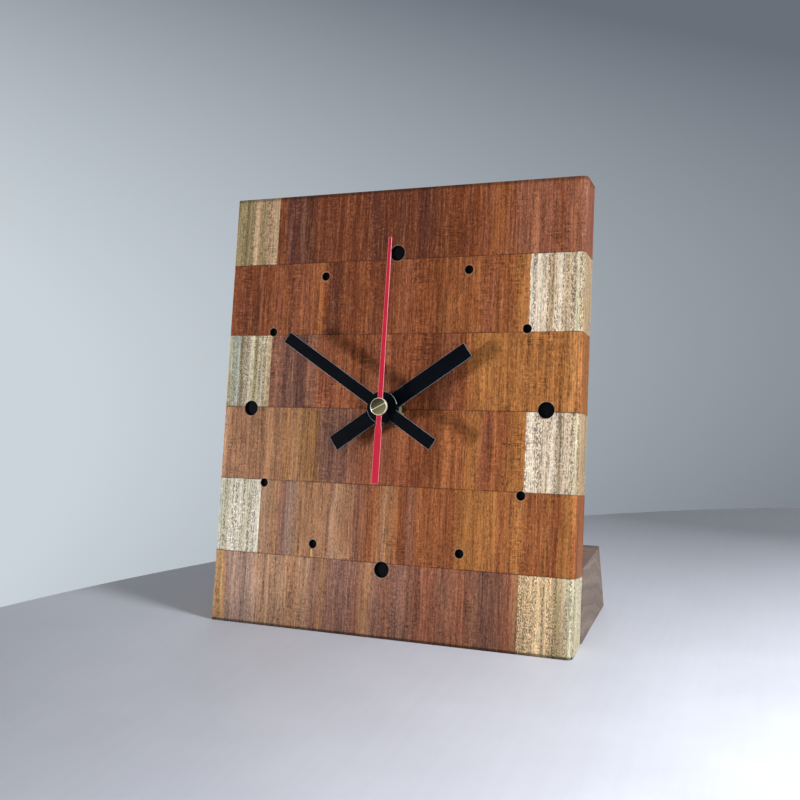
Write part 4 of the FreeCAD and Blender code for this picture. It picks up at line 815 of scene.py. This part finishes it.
class DESKCLOCK_OT_cap(bpy.types.Operator):
    """Turn the brass cap, and finish the collet behind it"""
    bl_idname = "desk_clock.cap"
    bl_label = "Brass cap"

    def execute(self, context):
        finish, place, across, behind, up = begin("turned_brass")
        above = up - SHAFT_HEIGHT
        radius = (across ** 2 + above ** 2) ** 0.5
        grooves = finish.clouds(finish.joined(radius, 0.0, 0.0), (0.14, 1, 1), 2.0, 0.6)
        # a painted highlight streak across the dish, rising to the right, where turned brass would catch a
        # lamp; a painted highlight on the rim, and the dish painted from shade at the upper left to a glint
        # at the lower right
        rise = math.radians(28)
        painted_streak = abs(above * math.cos(rise) - across * math.sin(rise)).between(0.26, 0.05)
        rim_glint = radius.between(2.46, 2.54)
        glint = (across * 0.6 - above * 0.8).between(-2.2, 2.6)
        colour = finish.blend(glint, "3e3725", "94875f")
        colour = finish.shade(colour, grooves * 0.5 + 0.75)
        colour = finish.blend((painted_streak * (1 - rim_glint) * 0.8 + rim_glint * 0.95).smaller(1.0), colour,
                              "f0e8d0")
        brass = finish.surface(base_color=colour, metallic=0.75 - rim_glint * 0.35, roughness=0.30,
                               normal=finish.bump(grooves, 0.012, 0.8))
        low, high = CAP_LAYER
        rim = 0.2
        arc = [(CAP_RADIUS - rim + rim * math.cos(a), high - rim + rim * math.sin(a))
               for a in [math.radians(15 * i) for i in range(7)]]
        dish = [(2.49, high), (2.44, high - 0.05), (2.36, high - 0.12), (1.2, high - 0.11),
                (0.0, high - 0.10)]
        profile = [(0.0, low), (CAP_RADIUS - 0.1, low), (CAP_RADIUS, low + 0.1), *arc, *dish]
        settle(turned(profile, 128), DIAL, "cap_turning", [brass], "seconds_group", "polished_brass",
               "second_hand_cap")
        dress(turned_goods("collet_brass", "c8a860", "8f7640", 0.34), "second_hand_collet")
        return {"FINISHED"}


class DESKCLOCK_OT_fastening(bpy.types.Operator):
    """Finish the nut and the rubber washer"""
    bl_idname = "desk_clock.fastening"
    bl_label = "Nut and washer"

    def execute(self, context):
        finish, place, across = begin("nut_brass")[:3]
        brushed = finish.clouds(place, (1.2, 0.15, 1.2), 2.0, 0.6)
        # the nut painted dark as shade under the hands, with a painted highlight on the band beside the hub
        # that is left in view
        glint_band = across.between(3.6, 4.2) * across.between(5.3, 4.7)
        colour = finish.blend(glint_band, "3a2f1c", "f4dba6")
        colour = finish.shade(colour, (brushed - 0.5) * 0.5 + 1.0)
        dress(finish.surface(base_color=colour, metallic=0.7 - glint_band * 0.3, roughness=0.38 - brushed * 0.1,
                             normal=finish.bump(brushed, 0.01)), "hex_nut")
        dress(moulded("washer_rubber", "111112", "2b2b2c", 0.75, 0.5, 0.04), "rubber_washer")
        return {"FINISHED"}


def sign_bars(made, x, y, *bars):
    """Raised bars of a moulded sign at that place, each (width, height)."""
    for wide, tall in bars:
        outline = [(x - wide / 2, y - tall / 2), (x + wide / 2, y - tall / 2),
                   (x + wide / 2, y + tall / 2), (x - wide / 2, y + tall / 2)]
        slab_of(made, outline, 0.0, SIGN_HEIGHT, SIGN_EDGE)


class DESKCLOCK_OT_case(bpy.types.Operator):
    """Finish the movement's case, and raise the plus, the minus and the setting arrow on its back"""
    bl_idname = "desk_clock.case"
    bl_label = "Movement case"

    def execute(self, context):
        case = moulded("case_plastic", "16181a", "2c2e31", 0.46, 0.3, 0.02, (CASE_HALF, SHAFT_HEIGHT))
        dress(case, "front_case", "rear_cover")
        rear = DIAL @ Matrix.Translation((0, 0, -CASE_REAR * MM)) @ Matrix.Rotation(math.pi, 4, "Y")
        signs = bmesh.new()
        sign_bars(signs, -22.4, -7.2, (3.0, 0.7), (0.7, 3.0))
        sign_bars(signs, 21.8, -7.2, (3.0, 0.7))
        # an arc with an arrowhead, beside the knob, shows which way it turns
        arc = bmesh.new()
        section = [arc.verts.new(corner) for corner in (
            (7.0, 0, 0), (7.7, 0, 0), (7.64, 0, SIGN_HEIGHT), (7.06, 0, SIGN_HEIGHT))]
        face = arc.faces.new(section)
        move(arc, Matrix.Rotation(math.radians(28), 4, "Z"))
        bmesh.ops.spin(arc, geom=[face, *face.edges, *section], cent=(0, 0, 0), axis=(0, 0, 1),
                       dvec=(0, 0, 0), angle=math.radians(110), steps=36, use_merge=False)
        bmesh.ops.recalc_face_normals(arc, faces=arc.faces)
        tip = bmesh.new()
        slab_of(tip, [(-1.2, 0.0), (1.2, 0.0), (0.0, 2.3)], 0.0, SIGN_HEIGHT, SIGN_EDGE)
        move(tip, Matrix.Rotation(math.radians(138), 4, "Z") @ Matrix.Translation((7.35, 0, 0)))
        add_mesh(arc, tip)
        move(arc, Matrix.Translation((-KNOB[0], KNOB[1] - SHAFT_HEIGHT, 0)))
        add_mesh(signs, arc)
        settle(signs, rear, "case_signs", [case], "clock", "case_plastic")
        return {"FINISHED"}


class DESKCLOCK_OT_cell(bpy.types.Operator):
    """Make the cell with its jacket, crimped ends and nub, and finish the contacts"""
    bl_idname = "desk_clock.cell"
    bl_label = "Cell and contacts"

    def execute(self, context):
        low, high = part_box("battery")
        middle = (low + high) / 2
        half = (high.x - low.x) / 2 / MM
        radius = (high.y - low.y) / 2 / MM
        nub = 1.2
        shoulder = half - nub
        profile = [
            (0.0, -half + 0.25), (4.6, -half + 0.25), (5.0, -half), (6.0, -half), (6.3, -half + 0.3),
            (6.35, -half + 0.55), (6.7, -half + 0.5), (7.0, -half + 0.55), (radius, -half + 0.9),
            (radius, -half + 1.6), (radius, 0.0), (radius, shoulder - 1.8), (radius, shoulder - 0.7),
            (radius - 0.15, shoulder - 0.25), (radius - 0.6, shoulder), (6.2, shoulder),
            (6.0, shoulder - 0.3), (3.5, shoulder - 0.3), (3.3, shoulder), (2.9, shoulder),
            (2.75, shoulder + 0.2), (2.7, half - 0.35), (2.45, half - 0.08), (2.1, half), (0.0, half),
        ]
        made = turned(profile, 96)
        for face in made.faces:
            centre = face.calc_center_median()
            reach = math.hypot(centre.x, centre.y)
            if centre.z < -half + 0.58 or (centre.z > shoulder - 0.4 and reach < 3.4):
                face.material_index = 1
            elif centre.z > shoulder - 0.4 and reach < 6.3:
                face.material_index = 2
        along = Matrix.Translation(middle) @ Matrix.Rotation(QUARTER, 4, "Y")
        steel = drawn_metal("cell_steel", "c6c8ca", "8f9296", 0.30, (0.5, 0.5, 0.5))
        ring = moulded("cell_seal", "e4e2dc", "cfccc4", 0.5)
        settle(made, along, "dressed_cell", [cell_finish(), steel, ring], "cell", "cell_jacket", "battery")
        dress(drawn_metal("contact_nickel", "c9c8c2", "96948c", 0.26), "contact_positive", "contact_negative")
        return {"FINISHED"}


class DESKCLOCK_OT_circuit(bpy.types.Operator):
    """Finish the circuit board, its chip and its crystal"""
    bl_idname = "desk_clock.circuit"
    bl_label = "Circuit"

    def execute(self, context):
        dress(board_finish(), "circuit_board")
        dress(moulded("chip_plastic", "0e0f11", "1f2124", 0.55, 0.2, 0.01), "control_chip")
        dress(drawn_metal("crystal_can", "cfd1d2", "a4a6a8", 0.22, (0.2, 0.2, 5.0)), "quartz_crystal")
        return {"FINISHED"}


class DESKCLOCK_OT_motor(bpy.types.Operator):
    """Wind the coil, and finish its core, bobbin, stator and magnet"""
    bl_idname = "desk_clock.motor"
    bl_label = "Motor"

    def execute(self, context):
        low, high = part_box("coil_winding")
        middle = (low + high) / 2
        half = (high.x - low.x) / 2 / MM
        outer = (high.y - low.y) / 2 / MM
        inner = 2.7
        turns = 60
        step = 2 * half / turns
        swell = step * 0.45
        profile = [(inner, -half)]
        for turn in range(turns):
            start = -half + turn * step
            for share in (0.0, 0.25, 0.5, 0.75):
                profile.append((outer - swell + math.sin(math.pi * share) * swell, start + share * step))
        profile += [(outer - swell, half), (inner, half)]
        made = turned(profile, 40, closed=True)
        along = Matrix.Translation(middle) @ Matrix.Rotation(QUARTER, 4, "Y")
        settle(made, along, "wound_coil", [wire_finish()], "clock", "enamelled_copper", "coil_winding")
        dress(drawn_metal("lamination_steel", "85878a", "5f6163", 0.40), "coil_core", "stator")
        dress(moulded("bobbin_plastic", "dcd7ca", "c8c2b2", 0.48), "coil_bobbin", "train_plate")
        dress(turned_goods("sintered_magnet", "4a4b4e", "333438", 0.55, 0.3, ROTOR), "rotor_magnet")
        return {"FINISHED"}


class DESKCLOCK_OT_train(bpy.types.Operator):
    """Finish the wheels and arbors of the going train and the motion work"""
    bl_idname = "desk_clock.train"
    bl_label = "Wheels"

    def execute(self, context):
        white = moulded("wheel_white", "e2e0d6", "cbc7b8", 0.40, 0.4, 0.015)
        brown = moulded("wheel_tan", "9c7448", "7c5a36", 0.42, 0.4, 0.015)
        dress(white, "rotor_pinion", "intermediate_wheel", "seconds_wheel", "centre_wheel",
              "minute_work_wheel", "setting_shaft")
        dress(brown, "third_wheel", "minute_cannon", "hour_wheel")
        dress(drawn_metal("arbor_steel", "d2d4d6", "a9abae", 0.2, (0.2, 4.0, 0.2)), "seconds_arbor")
        return {"FINISHED"}


class DESKCLOCK_OT_knob(bpy.types.Operator):
    """Finish the fluted setting knob"""
    bl_idname = "desk_clock.knob"
    bl_label = "Setting knob"

    def execute(self, context):
        dress(turned_goods("knob_plastic", "202225", "36393d", 0.42, 0.35, KNOB, 0.0), "setting_knob")
        return {"FINISHED"}


# Stage

def soft_lamp(name, toward, distance, size, watts, tint, mirrored):
    """A square soft light that far from the dial, in that direction."""
    data = bpy.data.lights.new(name, "AREA")
    data.shape = "SQUARE"
    data.size = size
    data.energy = watts
    data.color = tint
    lamp = bpy.data.objects.new(name, data)
    direction = Vector(toward).normalized()
    lamp.location = SHAFT + direction * distance
    lamp.visible_camera = False
    lamp.visible_glossy = mirrored
    lamp.rotation_euler = direction.to_track_quat("Z", "Y").to_euler()
    bpy.context.scene.collection.objects.link(lamp)


def table_finish():
    """Pale lacquer, painted brighter to the right front as a pool of light and darker far from the middle as
    painted shade, with faint brush marks and wiped patches.
    """
    finish = Finish(bpy.data.materials.new("pale_lacquer"))
    place = finish.stretched(finish.node("ShaderNodeTexCoord", output="Object"), MM)
    across, behind = finish.parts(place)[:2]
    # painted light: brighter to the right front, fading to painted shade towards the rim
    level = slope(across * 0.01, behind * 0.01, 0.98, 0.155, -0.214, 0.091, -0.283, -0.049)
    far = (across ** 2 + behind ** 2) ** 0.5
    level = level.larger(0.40).smaller(1.6) * (1.0 - far.between(240, 420) * 0.62)
    brush = finish.clouds(place, (3, 60, 3), 3.0, 0.6)
    wiped = finish.clouds(place, (34, 26, 30), 4.0, 0.62)
    colour = finish.shade(tuple(colours().table[:3]), level)
    colour = finish.shade(colour, (wiped - 0.5) * 0.16 + (brush - 0.5) * 0.07 + 1.0)
    return finish.surface(base_color=colour, roughness=(wiped - 0.5) * 0.2 + 0.36,
                          specular_ior_level=0.16, normal=finish.bump(brush, 0.02, 0.4))


class DESKCLOCK_OT_stage(bpy.types.Operator):
    """Make the round pale table, the backdrop, the soft lights and the camera"""
    bl_idname = "desk_clock.stage"
    bl_label = "Stage"

    def execute(self, context):
        size = sizes()
        scene = bpy.context.scene
        radius = size.table_radius / MM
        table = turned([(0.0, -TABLE_THICKNESS), (radius - 1.5, -TABLE_THICKNESS),
                        (radius, 1.5 - TABLE_THICKNESS), (radius, -1.2), (radius - 1.2, 0.0),
                        (0.0, 0.0)], 256)
        top = placed(table, Matrix.Translation(TABLE_MIDDLE), "table_top", [table_finish()])

        world = bpy.data.worlds.new("studio")
        scene.world = world
        sky = Finish(world)
        heading = sky.node("ShaderNodeTexCoord", output="Generated")
        sideways = sky.node("ShaderNodeVectorMath", {"operation": "DOT_PRODUCT"},
                            {0: heading, 1: SIDEWAYS}, output="Value")
        level = slope(sideways, sky.parts(heading)[2], 0.457, -0.52, -0.327, 0.133, 0.363, -2.07)
        share = ((level - 0.15) / 0.51).larger(0.0).smaller(1.0)
        wall = sky.blend(share, tuple(colours().wall_dark), tuple(colours().wall_light))
        # the backdrop is what the camera and reflections see, and the ambient light is what the object gets
        seeing = sky.node("ShaderNodeLightPath", output="Is Camera Ray")
        for ray in ("Is Glossy Ray", "Is Transmission Ray"):
            seeing = seeing.larger(sky.node("ShaderNodeLightPath", output=ray))
        ambient = sky.node("ShaderNodeBackground", None,
                           {"Color": (0.93, 0.96, 1.0, 1.0), "Strength": AMBIENT})
        seen = sky.node("ShaderNodeBackground", None, {"Color": wall, "Strength": 1.0})
        mixed = sky.node("ShaderNodeMixShader", None, {0: seeing, 1: ambient, 2: seen})
        sky.node("ShaderNodeOutputWorld", None, {"Surface": mixed})

        for name, lamp in LAMPS.items():
            soft_lamp(name, *lamp)

        data = bpy.data.cameras.new("camera")
        data.sensor_width = FILM_WIDTH
        data.lens = size.lens
        camera = bpy.data.objects.new("camera", data)
        camera.location = CAMERA_PLACE
        camera.rotation_euler = [math.radians(a) for a in CAMERA_TURN]
        scene.collection.objects.link(camera)
        scene.camera = camera
        scene.view_settings.view_transform = "Standard"
        return {"FINISHED"}


STEPS = ("woods", "marks", "hands", "cap", "fastening", "case", "cell", "circuit", "motor", "train", "knob",
         "stage")


class DESKCLOCK_PT_panel(bpy.types.Panel):
    bl_idname = "DESKCLOCK_PT_panel"
    bl_label = "Desk clock"
    bl_space_type = "VIEW_3D"
    bl_region_type = "UI"
    bl_category = "Desk clock"

    def draw(self, context):
        for step in STEPS:
            self.layout.operator(f"desk_clock.{step}")
        for group in (sizes(), colours()):
            for name in group.__annotations__:
                self.layout.prop(group, name)


CLASSES = (
    DeskClockSizes, DeskClockColours, DESKCLOCK_OT_woods, DESKCLOCK_OT_marks, DESKCLOCK_OT_hands,
    DESKCLOCK_OT_cap, DESKCLOCK_OT_fastening, DESKCLOCK_OT_case, DESKCLOCK_OT_cell, DESKCLOCK_OT_circuit,
    DESKCLOCK_OT_motor, DESKCLOCK_OT_train, DESKCLOCK_OT_knob, DESKCLOCK_OT_stage, DESKCLOCK_PT_panel,
)


def register():
    for kind in CLASSES:
        bpy.utils.register_class(kind)
    bpy.types.Scene.desk_clock_sizes = PointerProperty(type=DeskClockSizes)
    bpy.types.Scene.desk_clock_colours = PointerProperty(type=DeskClockColours)


def unregister():
    del bpy.types.Scene.desk_clock_colours
    del bpy.types.Scene.desk_clock_sizes
    for kind in reversed(CLASSES):
        bpy.utils.unregister_class(kind)


def main():
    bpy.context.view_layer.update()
    register()
    for step in STEPS:
        getattr(bpy.ops.desk_clock, step)()


if __name__ == "__main__":
    main()
